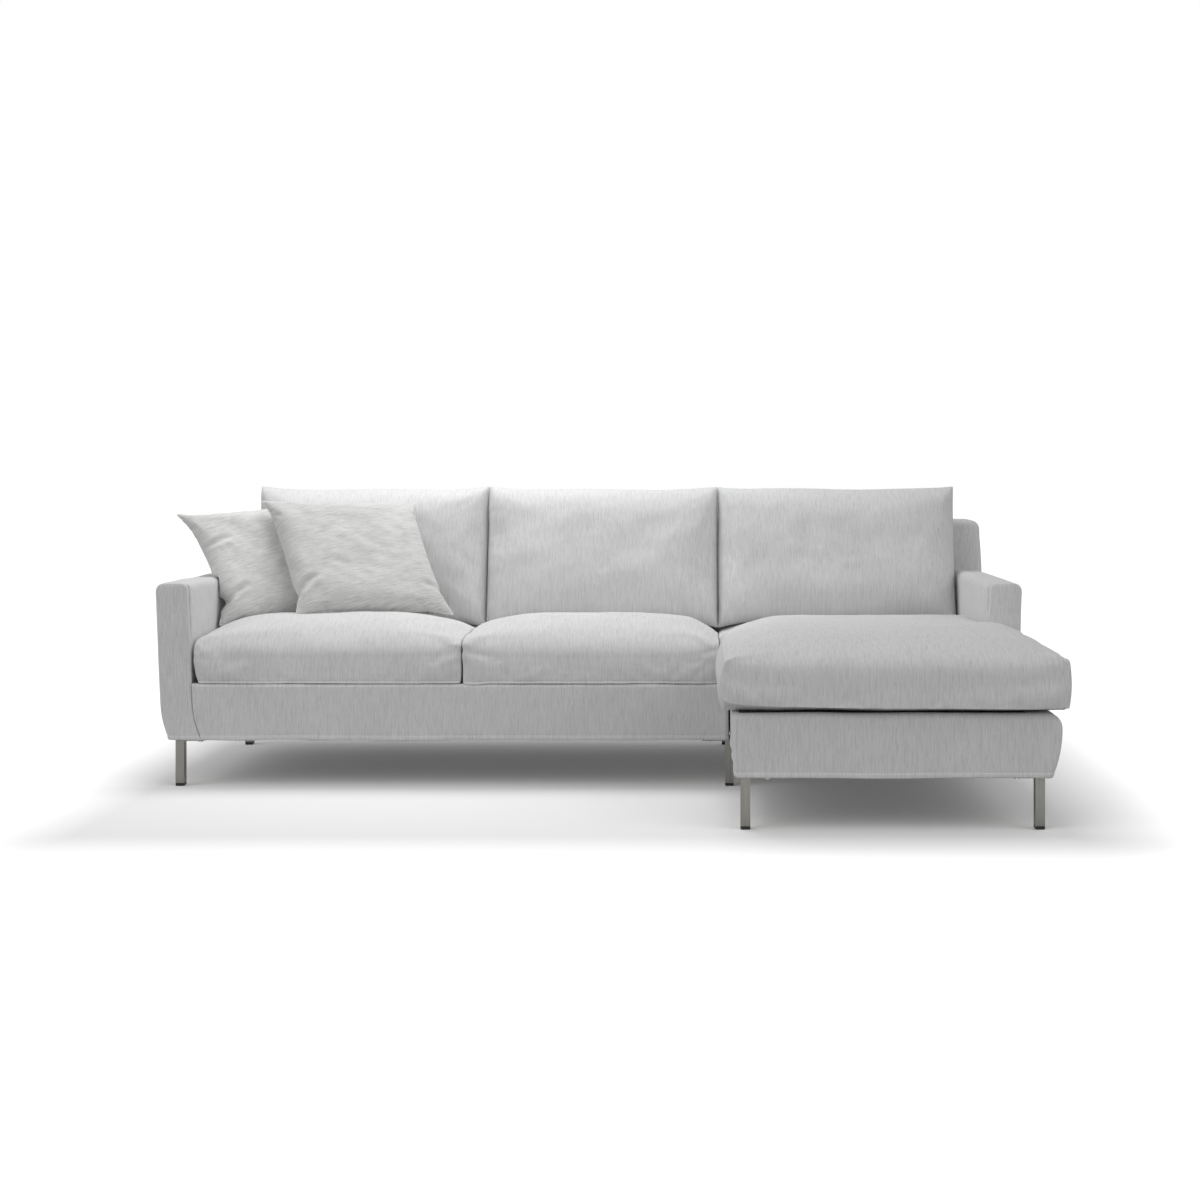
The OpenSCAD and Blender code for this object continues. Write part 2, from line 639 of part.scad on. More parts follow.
// One module for each node
module sofa_front_rail() { color(TIMBER) front_rail(sofa_in_l, sofa_in_r, sofa_rail_y); }
module sofa_rear_rail() { color(TIMBER) rear_rail(sofa_in_l, sofa_in_r); }
module sofa_short_rails() {
    color(TIMBER) {
        end_rails(sofa_in_l, sofa_in_r, sofa_rail_y);
        for (i = [1, 2]) let (x = sofa_in_l + (sofa_in_r - sofa_in_l) * i / 3)
            box([x, sofa_rail_y + rail_t + fit, rail_z],
                [x + rail_t, rear_face - rail_t - fit, rail_top - cross_drop]);
    }
}
module sofa_corner_boards() {
    color(TIMBER) {
        corner_board([sofa_left, front_edge], [1, 1], board_holes, bolt_r + 0.1);
        corner_board([sofa_left, rear_edge], [1, -1], board_holes, bolt_r + 0.1);
        corner_board([sofa_right, front_edge], [-1, 1], joint_bolts, bolt_r + 0.1);
        corner_board([sofa_right, rear_edge], [-1, -1], joint_bolts, bolt_r + 0.1);
    }
}
module sofa_seat_springs() { color(STEEL) sofa_springs_at() zigzag(sofa_span); }
module sofa_spring_clips() { color(STEEL) sofa_springs_at() clips(sofa_span); }
module sofa_deck_pad() {
    color(CLOTH) along_x(x0 + arm_t + fit, xs - pad_t - fit)
        base_side(yf + pad_t + fit, deck_z, deck_top, fit);
}
module sofa_front_panel() {
    color(CLOTH) intersection() {
        along_y(yf, yf + pad_t) polygon(concat([[xs, base_z], [xs, deck_top]],
            [for (p = side_curve(deck_top, arm_front_w + 2 * fit)) [x0 + p[0], p[1]]]));
        along_x(x0, xs) polygon(concat([[yf, base_z], [yf + pad_t, base_z], [yf + pad_t, deck_top]],
            arc([yf + panel_r, deck_top - panel_r], panel_r, 90, 180)));
    }
}
module sofa_end_panel() {
    color(CLOTH) along_x(xs - pad_t, xs) base_side(yf + pad_t + fit, base_z, deck_top, fit);
}
module dust_cover(a, b, front, boards) {
    difference() {
        box([a, front, rail_z - fit - dust_t], [b, rear_face, rail_z - fit]);
        for (c = boards) translate([c[0][0], c[0][1], 0]) turn_to(c[1])
            translate([-2 * gusset_w, -2 * gusset_w, base_z])
                cube([3 * gusset_w + 1, 3 * gusset_w + 1, gusset_t + 5]);
    }
}
module sofa_dust_cover() {
    boards = [[[sofa_left, front_edge], [1, 1]], [[sofa_left, rear_edge], [1, -1]],
        [[sofa_right, front_edge], [-1, 1]], [[sofa_right, rear_edge], [-1, -1]]];
    color("dimgray") dust_cover(sofa_in_l, sofa_in_r, sofa_rail_y, boards);
}
module sofa_arm_frame() { color(TIMBER) left_end() arm_frame(); }
module sofa_arm_cover() { color(CLOTH) left_end() arm_cover(); }
module sofa_arm_front_panel() { color(CLOTH) left_end() arm_front_panel(base_z); }
module sofa_back_frame() { color(TIMBER) left_end() back_frame(xs - x0); }
module sofa_back_cover() { color(CLOTH) left_end() back_cover(xs - x0); }
module leg_sofa_front() { color(STEEL) leg([sofa_left, front_edge], [1, 1]); }
module leg_sofa_rear() { color(STEEL) leg([sofa_left, rear_edge], [1, -1]); }
module leg_joint_front() { color(STEEL) joint_leg(front_edge, 1); }
module leg_joint_rear() { color(STEEL) joint_leg(rear_edge, -1); }
module sofa_leg_glides() {
    color("black") {
        leg_glide([sofa_left, front_edge], [1, 1]);
        leg_glide([sofa_left, rear_edge], [1, -1]);
        glide(joint_x - leg_w / 2, front_edge + board_in);
        glide(joint_x - leg_w / 2, rear_edge - board_in - leg_w);
    }
}
module sofa_leg_bolts() {
    color(STEEL) {
        leg_bolts([sofa_left, front_edge], [1, 1]);
        leg_bolts([sofa_left, rear_edge], [1, -1]);
        for (b = [bolt_near, bolt_far]) {
            bolt(joint_x - joint_bolt_x, front_edge + board_in + b);
            bolt(joint_x - joint_bolt_x, rear_edge - board_in - b);
        }
    }
}
module connector_pins() {
    color(STEEL) {
        connector_pin(front_edge, 1);
        connector_pin(rear_edge, -1);
    }
}
module chaise_front_rail() { color(TIMBER) front_rail(chaise_in_l, chaise_in_r, chaise_rail_y); }
module chaise_rear_rail() { color(TIMBER) rear_rail(chaise_in_l, chaise_in_r); }
module chaise_short_rails() {
    color(TIMBER) {
        end_rails(chaise_in_l, chaise_in_r, chaise_rail_y);
        for (i = [1, 2]) let (y = chaise_rail_y + (rear_face - chaise_rail_y) * i / 3)
            box([chaise_in_l + rail_t + fit, y, rail_z],
                [chaise_in_r - rail_t - fit, y + rail_t, rail_top - cross_drop]);
    }
}
module chaise_corner_boards() {
    pin_hole = [[joint_x + joint_pin_x - chaise_left, pin_y]];
    color(TIMBER) {
        corner_board([chaise_left, chaise_front_edge], [1, 1], board_holes, bolt_r + 0.1);
        corner_board([chaise_right, chaise_front_edge], [-1, 1], board_holes, bolt_r + 0.1);
        corner_board([chaise_right, rear_edge], [-1, -1], board_holes, bolt_r + 0.1);
        corner_board([chaise_left, front_edge], [1, 1], pin_hole, pin_r + 0.5);
        corner_board([chaise_left, rear_edge], [1, -1], pin_hole, pin_r + 0.5);
    }
}
module chaise_seat_springs() { color(STEEL) chaise_springs_at() zigzag(chaise_span); }
module chaise_spring_clips() { color(STEEL) chaise_springs_at() clips(chaise_span); }
module chaise_deck_pad() {
    color(CLOTH) along_x(xc + pad_t + fit, x1 - arm_t - fit)
        base_side(yc + chaise_front_t + fit, deck_z, deck_top, fit);
}
// Outline of the chaise's base end in front of the arm, with u growing inward
module side_outline(inset, bottom) {
    r = chaise_side_r - inset / 2;
    top = deck_top - inset;
    polygon(concat([[arm_t - inset, bottom], [arm_t - inset, top]],
        arc([inset + side_in(top - r) + r, top - r], r, 90, 180), side_curve(top - r - 1, inset),
        [[inset + side_in(base_z), bottom - 0.01]]));
}
module chaise_front_panel() {
    color(CLOTH) intersection() {
        union() {
            right_end() along_y(yc, yc + chaise_front_t) side_outline(0, base_z);
            box([xc, yc, base_z], [x1 - arm_t + 1, yc + chaise_front_t, deck_top]);
        }
        along_x(xc, x1) polygon(concat([[yc, base_z], [yc + chaise_front_t, base_z],
            [yc + chaise_front_t, deck_top]],
            arc([yc + chaise_panel_r, deck_top - chaise_panel_r], chaise_panel_r, 90, 180)));
    }
}
module chaise_left_panel() {
    color(CLOTH) along_x(xc, xc + pad_t) base_side(yc + chaise_front_t + fit, base_z, deck_top, fit);
}
module chaise_side_cover() {
    front = yc + chaise_front_t + fit;
    color(CLOTH) right_end() difference() {
        along_y(front, yf - fit) side_outline(0, base_z);
        along_y(front - 1, yf - fit - pad_t) side_outline(pad_t, base_z - 1);
        box([side_in(base_z) + pad_t + lip, front - 1, base_z - 1], [arm_t + 1, yf, deck_z - fit]);
    }
}
module chaise_side_frame() {
    front = yc + chaise_front_t + 2 * fit;
    rear = yf - 2 * fit - pad_t;
    color(TIMBER) right_end() intersection() {
        along_y(front, rear) side_outline(pad_t + fit, base_z);
        union() {
            for (y = [front, (front + rear - member) / 2, rear - member])
                box([0, y, rail_z], [arm_t, y + member, deck_top]);
            box([0, front, rail_z], [arm_t, rear, rail_z + rail_t]);
            box([0, front, deck_top - pad_t - rail_t], [arm_t, rear, deck_top]);
        }
    }
}
module chaise_dust_cover() {
    boards = [[[chaise_left, chaise_front_edge], [1, 1]], [[chaise_right, chaise_front_edge], [-1, 1]],
        [[chaise_right, rear_edge], [-1, -1]], [[chaise_left, rear_edge], [1, -1]]];
    color("dimgray") difference() {
        dust_cover(chaise_in_l, chaise_in_r, chaise_rail_y, boards);
        box([chaise_in_l - 1, front_edge - 1, base_z],
            [chaise_left + gusset_w + 1, front_edge + gusset_w + 1, rail_z]);
    }
}
module chaise_arm_frame() { color(TIMBER) right_end() arm_frame(); }
module chaise_arm_cover() { color(CLOTH) right_end() arm_cover(); }
module chaise_arm_front_panel() { color(CLOTH) right_end() arm_front_panel(deck_top + fit); }
module chaise_back_frame() { color(TIMBER) right_end() back_frame(chaise_w); }
module chaise_back_cover() { color(CLOTH) right_end() back_cover(chaise_w); }
module leg_chaise_front_left() { color(STEEL) leg([chaise_left, chaise_front_edge], [1, 1]); }
module leg_chaise_front_right() { color(STEEL) leg([chaise_right, chaise_front_edge], [-1, 1]); }
module leg_chaise_rear() { color(STEEL) leg([chaise_right, rear_edge], [-1, -1]); }
module chaise_leg_glides() {
    color("black") {
        leg_glide([chaise_left, chaise_front_edge], [1, 1]);
        leg_glide([chaise_right, chaise_front_edge], [-1, 1]);
        leg_glide([chaise_right, rear_edge], [-1, -1]);
    }
}
module chaise_leg_bolts() {
    color(STEEL) {
        leg_bolts([chaise_left, chaise_front_edge], [1, 1]);
        leg_bolts([chaise_right, chaise_front_edge], [-1, 1]);
        leg_bolts([chaise_right, rear_edge], [-1, -1]);
    }
}
module seat_cushion_left() { color(CLOTH) seat_cover(0); }
module seat_foam_left() { color("khaki") seat_foam(0); }
module seat_cushion_right() { color(CLOTH) seat_cover(1); }
module seat_foam_right() { color("khaki") seat_foam(1); }
module chaise_cushion() {
    color(CLOTH) difference() {
        chaise_form(0, side_rings, fine_tops, fine, [-0.97, -0.75, -0.5, -0.25], [0.25, 0.5, 0.75, 0.97]);
        chaise_form(wrap, core_rings, coarse_tops, coarse, [-0.9], [0.9]);
    }
}
module chaise_foam() {
    color("khaki") chaise_form(wrap + fit, core_rings, coarse_tops, coarse, [-0.9], [0.9]);
}
module back_cushion_left() { color(CLOTH) back_at(back_left_x) back_cushion(back_cushion_w); }
module back_cushion_middle() { color(CLOTH) back_at(back_middle_x) back_cushion(back_cushion_w); }
module back_cushion_right() { color(CLOTH) back_at(back_right_x) back_cushion(chaise_back_w); }
module back_insert_left() { color("white") back_at(back_left_x) back_insert(back_cushion_w); }
module back_insert_middle() { color("white") back_at(back_middle_x) back_insert(back_cushion_w); }
module back_insert_right() { color("white") back_at(back_right_x) back_insert(chaise_back_w); }
module pillow_rear() { color(LINEN) pillow(rear_corners, rear_draw); }
module pillow_insert_rear() { color("white") pillow_insert(rear_corners, rear_draw); }
module pillow_front() { color(LINEN) pillow(front_corners, front_draw); }
module pillow_insert_front() { color("white") pillow_insert(front_corners, front_draw); }

sofa_front_rail();
sofa_rear_rail();
sofa_short_rails();
sofa_corner_boards();
sofa_seat_springs();
sofa_spring_clips();
sofa_deck_pad();
sofa_front_panel();
sofa_end_panel();
sofa_dust_cover();
sofa_arm_frame();
sofa_arm_cover();
sofa_arm_front_panel();
sofa_back_frame();
sofa_back_cover();
leg_sofa_front();
leg_sofa_rear();
leg_joint_front();
leg_joint_rear();
sofa_leg_glides();
sofa_leg_bolts();
connector_pins();
chaise_front_rail();
chaise_rear_rail();
chaise_short_rails();
chaise_corner_boards();
chaise_seat_springs();
chaise_spring_clips();
chaise_deck_pad();
chaise_front_panel();
chaise_left_panel();
chaise_side_frame();
chaise_side_cover();
chaise_dust_cover();
chaise_arm_frame();
chaise_arm_cover();
chaise_arm_front_panel();
chaise_back_frame();
chaise_back_cover();
leg_chaise_front_left();
leg_chaise_front_right();
leg_chaise_rear();
chaise_leg_glides();
chaise_leg_bolts();
seat_cushion_left();
seat_foam_left();
seat_cushion_right();
seat_foam_right();
chaise_cushion();
chaise_foam();
back_cushion_left();
back_cushion_middle();
back_cushion_right();
back_insert_left();
back_insert_middle();
back_insert_right();
pillow_rear();
pillow_insert_rear();
pillow_front();
pillow_insert_front();
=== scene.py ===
import math

import bpy
import bmesh
import numpy as np
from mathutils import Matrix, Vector

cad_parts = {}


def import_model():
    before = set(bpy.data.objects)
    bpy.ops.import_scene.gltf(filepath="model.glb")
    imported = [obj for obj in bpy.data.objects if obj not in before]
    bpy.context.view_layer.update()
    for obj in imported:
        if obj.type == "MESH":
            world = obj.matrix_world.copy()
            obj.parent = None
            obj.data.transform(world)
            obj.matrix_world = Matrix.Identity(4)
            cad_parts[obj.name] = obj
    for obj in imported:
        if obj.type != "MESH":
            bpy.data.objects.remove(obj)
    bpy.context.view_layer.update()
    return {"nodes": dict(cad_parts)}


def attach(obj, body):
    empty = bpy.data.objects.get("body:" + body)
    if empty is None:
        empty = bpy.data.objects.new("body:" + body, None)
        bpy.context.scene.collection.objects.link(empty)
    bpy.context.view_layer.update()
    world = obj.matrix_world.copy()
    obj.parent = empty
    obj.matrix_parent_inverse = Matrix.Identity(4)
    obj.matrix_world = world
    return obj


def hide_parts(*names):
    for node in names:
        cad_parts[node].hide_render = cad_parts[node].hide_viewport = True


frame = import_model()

MM = 0.001
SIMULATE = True

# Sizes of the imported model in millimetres, as in its source
X0, X1 = -1229.0, 1281.0
XC, XS = 436.0, 431.0
YF, YC, Y_REAR = -117.5, -747.5, 772.5
BASE_Z, DECK_Z, DECK_TOP, CUSHION_Z = 136.0, 282.5, 298.5, 299.0
ARM_H, ARM_T, ARM_FRONT_W = 590.0, 100.0, 94.0
PAD_T, CHAISE_FRONT_T = 12.0, 24.0
BACK_H, BACK_T, BACK_LEAN = 755.0, 165.0, math.radians(6)
SIDE_LEAN, FOOT_IN, FOOT_Z, ARM_R, ARM_R_IN = 0.04, 22.0, 240.0, 24.0, 20.0
SEAT_EDGE, SEAT_CROWN, SEAT_SHELF = 113.0, 70.0, 0.2
CHAISE_L, CHAISE_STEP_X, CHAISE_STEP_Y, CHAISE_FRONT = 408.0, 1178.0, -120.5, -772.5
CUSHION_LEAN = math.radians(12)
CUSHION_H = 440.0
# How far a back cushion's front and rear stand out, and the steep part of that at its sides
FRONT_FILL, REAR_FILL, SHOULDER = 98.0, 81.0, 38.0
PILLOW_HALF, PILLOW_HALF_T = 240.0, 60.0


# Meshes
def blocks(mask, layers):
    """Outer quads of a block of cells: mask says which cells of the plan are filled, through all the layers.
    Returns the lattice index of each vertex and the quads."""
    nu, nv = mask.shape
    corner = {}
    order = []

    def vert(i, j, k):
        key = (i, j, k)
        if key not in corner:
            corner[key] = len(order)
            order.append(key)
        return corner[key]

    full = np.zeros((nu + 2, nv + 2), bool)
    full[1:-1, 1:-1] = mask
    quads = []
    for i in range(nu):
        for j in range(nv):
            if not mask[i, j]:
                continue
            for k, flip in ((0, True), (layers, False)):
                q = [vert(i, j, k), vert(i + 1, j, k), vert(i + 1, j + 1, k), vert(i, j + 1, k)]
                quads.append(q[::-1] if flip else q)
            for di, dj, a, b in ((-1, 0, (0, 1), (0, 0)), (1, 0, (1, 0), (1, 1)),
                                 (0, -1, (0, 0), (1, 0)), (0, 1, (1, 1), (0, 1))):
                if full[i + 1 + di, j + 1 + dj]:
                    continue
                for k in range(layers):
                    quads.append([vert(i + a[0], j + a[1], k), vert(i + b[0], j + b[1], k),
                                  vert(i + b[0], j + b[1], k + 1), vert(i + a[0], j + a[1], k + 1)])
    return np.array(order), np.array(quads)


def lattice(nu, nv, layers):
    return blocks(np.ones((nu, nv), bool), layers)


def normals_of(pts, quads):
    n = np.cross(pts[quads[:, 2]] - pts[quads[:, 0]], pts[quads[:, 3]] - pts[quads[:, 1]])
    out = np.zeros_like(pts)
    for c in range(4):
        np.add.at(out, quads[:, c], n)
    return out / np.maximum(np.linalg.norm(out, axis=1, keepdims=True), 1e-9)


def outward(pts, quads):
    a, b, c, d = (pts[quads[:, i]] for i in range(4))
    volume = (np.einsum("ij,ij->i", a, np.cross(b, c)) + np.einsum("ij,ij->i", a, np.cross(c, d))).sum()
    return quads if volume > 0 else quads[:, ::-1]


def waves(pts, seed, length, stretch=(1, 1, 1), count=14):
    """A smooth random height at each point, about -1 to 1, with features of that length in millimetres."""
    rng = np.random.default_rng(seed)
    k = rng.normal(size=(count, 3))
    k *= (rng.uniform(0.6, 1.5, count) / np.linalg.norm(k, axis=1) * 2 * math.pi / length)[:, None]
    k /= np.array(stretch, float)
    return np.sin(pts @ k.T + rng.uniform(0, 2 * math.pi, count)).sum(1) / math.sqrt(count / 2)


def add_object(name, data):
    obj = bpy.data.objects.new(name, data)
    bpy.context.scene.collection.objects.link(obj)
    return obj


def link(name, mesh, material, levels):
    mesh.materials.append(material)
    obj = add_object(name, mesh)
    if levels:
        mod = obj.modifiers.new("smooth", "SUBSURF")
        mod.levels = mod.render_levels = levels
    return obj


def to_mesh(name, pts, quads):
    mesh = bpy.data.meshes.new(name)
    mesh.from_pydata((pts * MM).tolist(), [], np.asarray(quads).tolist())
    mesh.polygons.foreach_set("use_smooth", [True] * len(mesh.polygons))
    mesh.update()
    return mesh


def put(name, pts, quads, material, body, slot, stands_for=(), levels=1):
    obj = link(name, to_mesh(name, pts, outward(pts, quads)), material, levels)
    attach(obj, body)
    if stands_for:
        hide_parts(*stands_for)
    return obj


def stations(a, b, step, near_a=(), near_b=()):
    """Places from a to b about a step apart, with those named near each end added."""
    near_a, near_b = [a + d for d in near_a], [b - d for d in near_b]
    lo, hi = (near_a[-1] if near_a else a), (near_b[-1] if near_b else b)
    n = max(1, int(round((hi - lo) / step)))
    return np.array(sorted(set(np.round([a, b, *near_a, *near_b, *np.linspace(lo, hi, n + 1)], 4))))


def shares(step, *near):
    """Places from 0 to 1, with those named near both ends added."""
    return stations(0, 1, step, near, near)


def edge_round(d0, d1, r0, r1, step, n=4):
    """Depths from d0 to d1, each with its inset, for edges rounded with r0 at the start and r1 at the end."""
    a = [(d0 + r0 * (1 - math.cos(t)), r0 * (1 - math.sin(t))) for t in np.linspace(0, math.pi / 2, n + 1)]
    b = [(d1 - r1 * (1 - math.cos(t)), r1 * (1 - math.sin(t))) for t in np.linspace(0, math.pi / 2, n + 1)]
    lo, hi = a[-1][0], b[-1][0]
    mid = [(d, 0.0) for d in np.linspace(lo, hi, max(1, int(round((hi - lo) / step))) + 1)[1:-1]]
    return np.array(a + mid + b[::-1])


def part(t):
    return np.clip(t, 0, 1)


def bell(t, width):
    return np.exp(-(t / width) ** 2)


def arc(r, count):
    """Depths at which a rounded edge of radius r starts to end."""
    return [r * (1 - math.cos(t)) for t in np.linspace(0, math.pi / 2, count)]


def corner_fall(t, r):
    """How far a rounded corner of radius r falls back, at the distance t from the edge."""
    t = np.clip(t, 0, r)
    return r - np.sqrt(np.maximum(r * r - (r - t) ** 2, 0))


# Forms that the source shares
def drawn_in(v, inset, top=DECK_TOP, low=0.0):
    """A height on a covered form, drawn in by the inset under its top, and by a share of it at its foot."""
    return BASE_Z + inset * low + (v - BASE_Z) * (top - BASE_Z - inset * (1 + low)) / (top - BASE_Z)


def side_in(z):
    foot = np.maximum(0, (FOOT_Z - z) / (FOOT_Z - BASE_Z))
    return SIDE_LEAN * np.maximum(0, ARM_H - ARM_R - z) + FOOT_IN * foot ** 2


def back_rear(z):
    return Y_REAR - (BACK_H - z) * math.tan(BACK_LEAN)


def back_front(z):
    return back_rear(z) - BACK_T


def hump(v, peak, end, low):
    rise = 1 - np.power(np.maximum(peak - v, 0) / (peak + 1), 2.4)
    fall = low + (1 - low) * (1 - np.power(np.maximum(v - peak, 0) / (end - peak), 1.5))
    return np.where(v < peak, rise, np.where(v < end, fall, low))


# Materials
def material(name):
    mat = bpy.data.materials.new(name)
    mat.use_nodes = True
    tree = mat.node_tree
    return mat, Tree(tree), tree.nodes["Principled BSDF"].inputs


class Tree:
    """Short calls that add nodes to a material's tree."""

    def __init__(self, tree):
        self.tree = tree

    def node(self, kind, inputs=None, **props):
        n = self.tree.nodes.new("ShaderNode" + kind)
        for k, v in props.items():
            setattr(n, k, v)
        for k, v in (inputs or {}).items():
            if isinstance(v, bpy.types.NodeSocket):
                self.tree.links.new(v, n.inputs[k])
            else:
                n.inputs[k].default_value = v
        return n

    def math(self, op, a, b=0.0):
        return self.node("Math", {0: a, 1: b}, operation=op).outputs[0]

    def add(self, a, b):
        return self.math("ADD", a, b)

    def minus(self, a, b):
        return self.math("SUBTRACT", a, b)

    def times(self, a, b):
        return self.math("MULTIPLY", a, b)

    def noise(self, vector, scale=1.0, detail=2.0, rough=0.5):
        return self.node("TexNoise", {"Vector": vector, "Scale": scale, "Detail": detail,
                                                "Roughness": rough}, noise_dimensions="3D").outputs["Fac"]

    def ramp(self, fac, stops):
        n = self.node("ValToRGB", {"Fac": fac})
        e = n.color_ramp.elements
        while len(e) < len(stops):
            e.new(0.5)
        for el, (pos, col) in zip(e, stops):
            el.position = pos
            el.color = (*col, 1) if len(col) == 3 else col
        return n.outputs["Color"]

    def mix(self, fac, a, b, blend="MIX"):
        n = self.node("Mix", {"Factor": fac, 6: a, 7: b}, data_type="RGBA", blend_type=blend)
        return n.outputs[2]

    def combine(self, x, y, z=0.0):
        return self.node("CombineXYZ", {"X": x, "Y": y, "Z": z}).outputs[0]

    def seen(self):
        """1 for what the camera sees, directly or in a gloss or glass, and 0 for light on the object."""
        ray = self.node("LightPath").outputs
        return self.math("MAXIMUM", ray["Is Camera Ray"], self.math("MAXIMUM", ray["Is Glossy Ray"],
                                                                    ray["Is Transmission Ray"]))

    def link(self, a, b):
        self.tree.links.new(a, b)

    def set(self, **values):
        """Sets the shader's own sockets, each named with _ for a space."""
        for k, v in values.items():
            self.tree.nodes["Principled BSDF"].inputs[k.replace("_", " ")].default_value = v


def grey(v):
    return (v, v, v)


def thread_space(t, along=None, across=None):
    """Coordinates across and along the threads. Without directions, the threads run up fronts and sides, and
    from front to rear over tops."""
    obj = t.node("TexCoord").outputs["Object"]
    if along:
        pick = [t.node("VectorMath", {0: obj, 1: d}, operation="DOT_PRODUCT").outputs["Value"]
                for d in (across, along)]
        return obj, pick[0], pick[1]
    xyz = t.node("SeparateXYZ", {0: obj}).outputs
    nx = t.node("SeparateXYZ", {0: t.node("NewGeometry").outputs["Normal"]}).outputs[0]
    side = t.math("GREATER_THAN", t.math("ABSOLUTE", nx), 0.72)
    front = t.minus(1.0, side)
    across = t.add(t.times(xyz[0], front), t.times(xyz[1], side))
    along = t.add(xyz[2], t.times(xyz[1], front))
    return obj, across, along


def woven(name, dark, mid, light, streak, speck, relief, reach, directions=(None, None), coarse=1.0):
    """A woven cloth with uneven yarns. dark, mid and light are the yarn's colours, streak and speck are how
    strongly they vary, and a higher reach makes the streaks shorter."""
    mat, t, sockets = material(name)
    obj, across, along = thread_space(t, *directions)

    def stretched(a, b, z=0.0, detail=2.0, rough=0.5):
        place = t.combine(t.times(across, a / coarse), t.times(along, b / coarse), z)
        return t.noise(place, 1.0, detail, rough)

    slub = stretched(330, reach, 0.3, 3.0, 0.6)
    yarn = stretched(760, 2.1 * reach, 4.1, 2.0, 0.55)
    fleck = stretched(520, 3 * reach, 8.7, 1.0, 0.5)
    cloud = t.noise(obj, 7.0, 2.0, 0.5)
    body = t.ramp(slub, [(0.30, dark), (0.5, mid), (0.70, light)])
    body = t.mix(streak, (*mid, 1), body)
    fine = t.ramp(yarn, [(0.3, grey(0.80)), (0.5, grey(0.97)), (0.7, grey(1.0))])
    body = t.mix(0.55, body, fine, "MULTIPLY")
    specks = t.ramp(fleck, [(0.28, grey(0.74)), (0.37, grey(1.0)), (0.66, grey(1.0)), (0.74, grey(1.09))])
    body = t.mix(speck, body, specks, "MULTIPLY")
    tone = t.ramp(cloud, [(0.3, grey(0.965)), (0.7, grey(1.0))])
    body = t.mix(1.0, body, tone, "MULTIPLY")
    t.link(body, sockets["Base Color"])
    t.set(Roughness=0.92, Specular_IOR_Level=0.18, Sheen_Weight=0.25, Sheen_Roughness=0.5)
    rib = t.node("TexWave", {"Vector": t.combine(across, t.times(along, 0.02), 0.0),
                                       "Scale": 210.0 / coarse, "Distortion": 1.4, "Detail": 2.0,
                                       "Detail Scale": 3.0}, bands_direction="X").outputs["Fac"]
    height = t.add(t.times(yarn, 0.9), t.times(slub, 0.7))
    height = t.add(height, t.times(rib, 0.35))
    bump = t.node("Bump", {"Strength": relief, "Distance": 0.0012, "Height": height})
    t.link(bump.outputs[0], sockets["Normal"])
    return mat


def speckled(name, low, high, scale, rough, relief=0.2, metallic=0.0, stretch=(1, 1, 1), specular=0.4):
    """A finish with a mottled colour, for metal, timber, foam, felt and plastic."""
    mat, t, sockets = material(name)
    obj = t.node("TexCoord").outputs["Object"]
    vec = t.node("VectorMath", {0: obj, 1: stretch}, operation="MULTIPLY").outputs[0]
    a = t.noise(vec, scale, 4.0, 0.6)
    b = t.noise(vec, scale * 5.3, 2.0, 0.5)
    col = t.ramp(a, [(0.3, low), (0.7, high)])
    col = t.mix(0.3, col, t.ramp(b, [(0.3, grey(0.8)), (0.6, grey(1.0))]), "MULTIPLY")
    t.link(col, sockets["Base Color"])
    r = t.add(t.times(a, 0.16), rough - 0.08)
    t.link(r, sockets["Roughness"])
    t.set(Metallic=metallic, Specular_IOR_Level=specular)
    bump = t.node("Bump", {"Strength": relief, "Distance": 0.001, "Height": b})
    t.link(bump.outputs[0], sockets["Normal"])
    return mat


CLOTH = woven("upholstery_cloth", (0.52, 0.52, 0.525), (0.735, 0.735, 0.74), (0.84, 0.84, 0.845),
              0.42, 0.35, 0.22, 20.0)
STEEL = speckled("satin_steel", (0.20, 0.195, 0.18), (0.27, 0.265, 0.245), 30.0, 0.42, 0.12, 1.0,
                 (14, 14, 0.6))


def matt(name, low, high, scale, rough, relief):
    """A mottled finish with hardly any gloss."""
    return speckled(name, low, high, scale, rough, relief, specular=0.1)


FINISH = {
    "timber": speckled("pine_timber", (0.50, 0.34, 0.19), (0.66, 0.48, 0.30), 9.0, 0.65, 0.25, 0.0,
                       (1, 9, 9)),
    "spring_steel": speckled("spring_wire", (0.22, 0.22, 0.22), (0.36, 0.35, 0.34), 120.0, 0.42, 0.1, 1.0),
    "leg_steel": STEEL,
    "fixing_steel": speckled("zinc_steel", (0.48, 0.48, 0.46), (0.62, 0.62, 0.60), 160.0, 0.35, 0.1, 1.0),
    "glide_plastic": speckled("glide_plastic", grey(0.010), grey(0.020), 300.0, 0.45, 0.3),
    "foam": matt("cushion_foam", (0.74, 0.70, 0.52), (0.82, 0.78, 0.60), 260.0, 0.95, 0.6),
    "fibre_filling": matt("fibre_ticking", (0.76, 0.76, 0.75), (0.86, 0.86, 0.85), 340.0, 0.95, 0.4),
    "deck_felt": matt("deck_felt", (0.20, 0.20, 0.21), (0.34, 0.34, 0.35), 220.0, 0.95, 0.5),
    "dust_cover_fabric": matt("dust_cover_cloth", (0.020, 0.020, 0.022), (0.045, 0.045, 0.048), 420.0, 0.9,
                              0.5),
    "upholstery_fabric": CLOTH,
    "cushion_fabric": CLOTH,
}


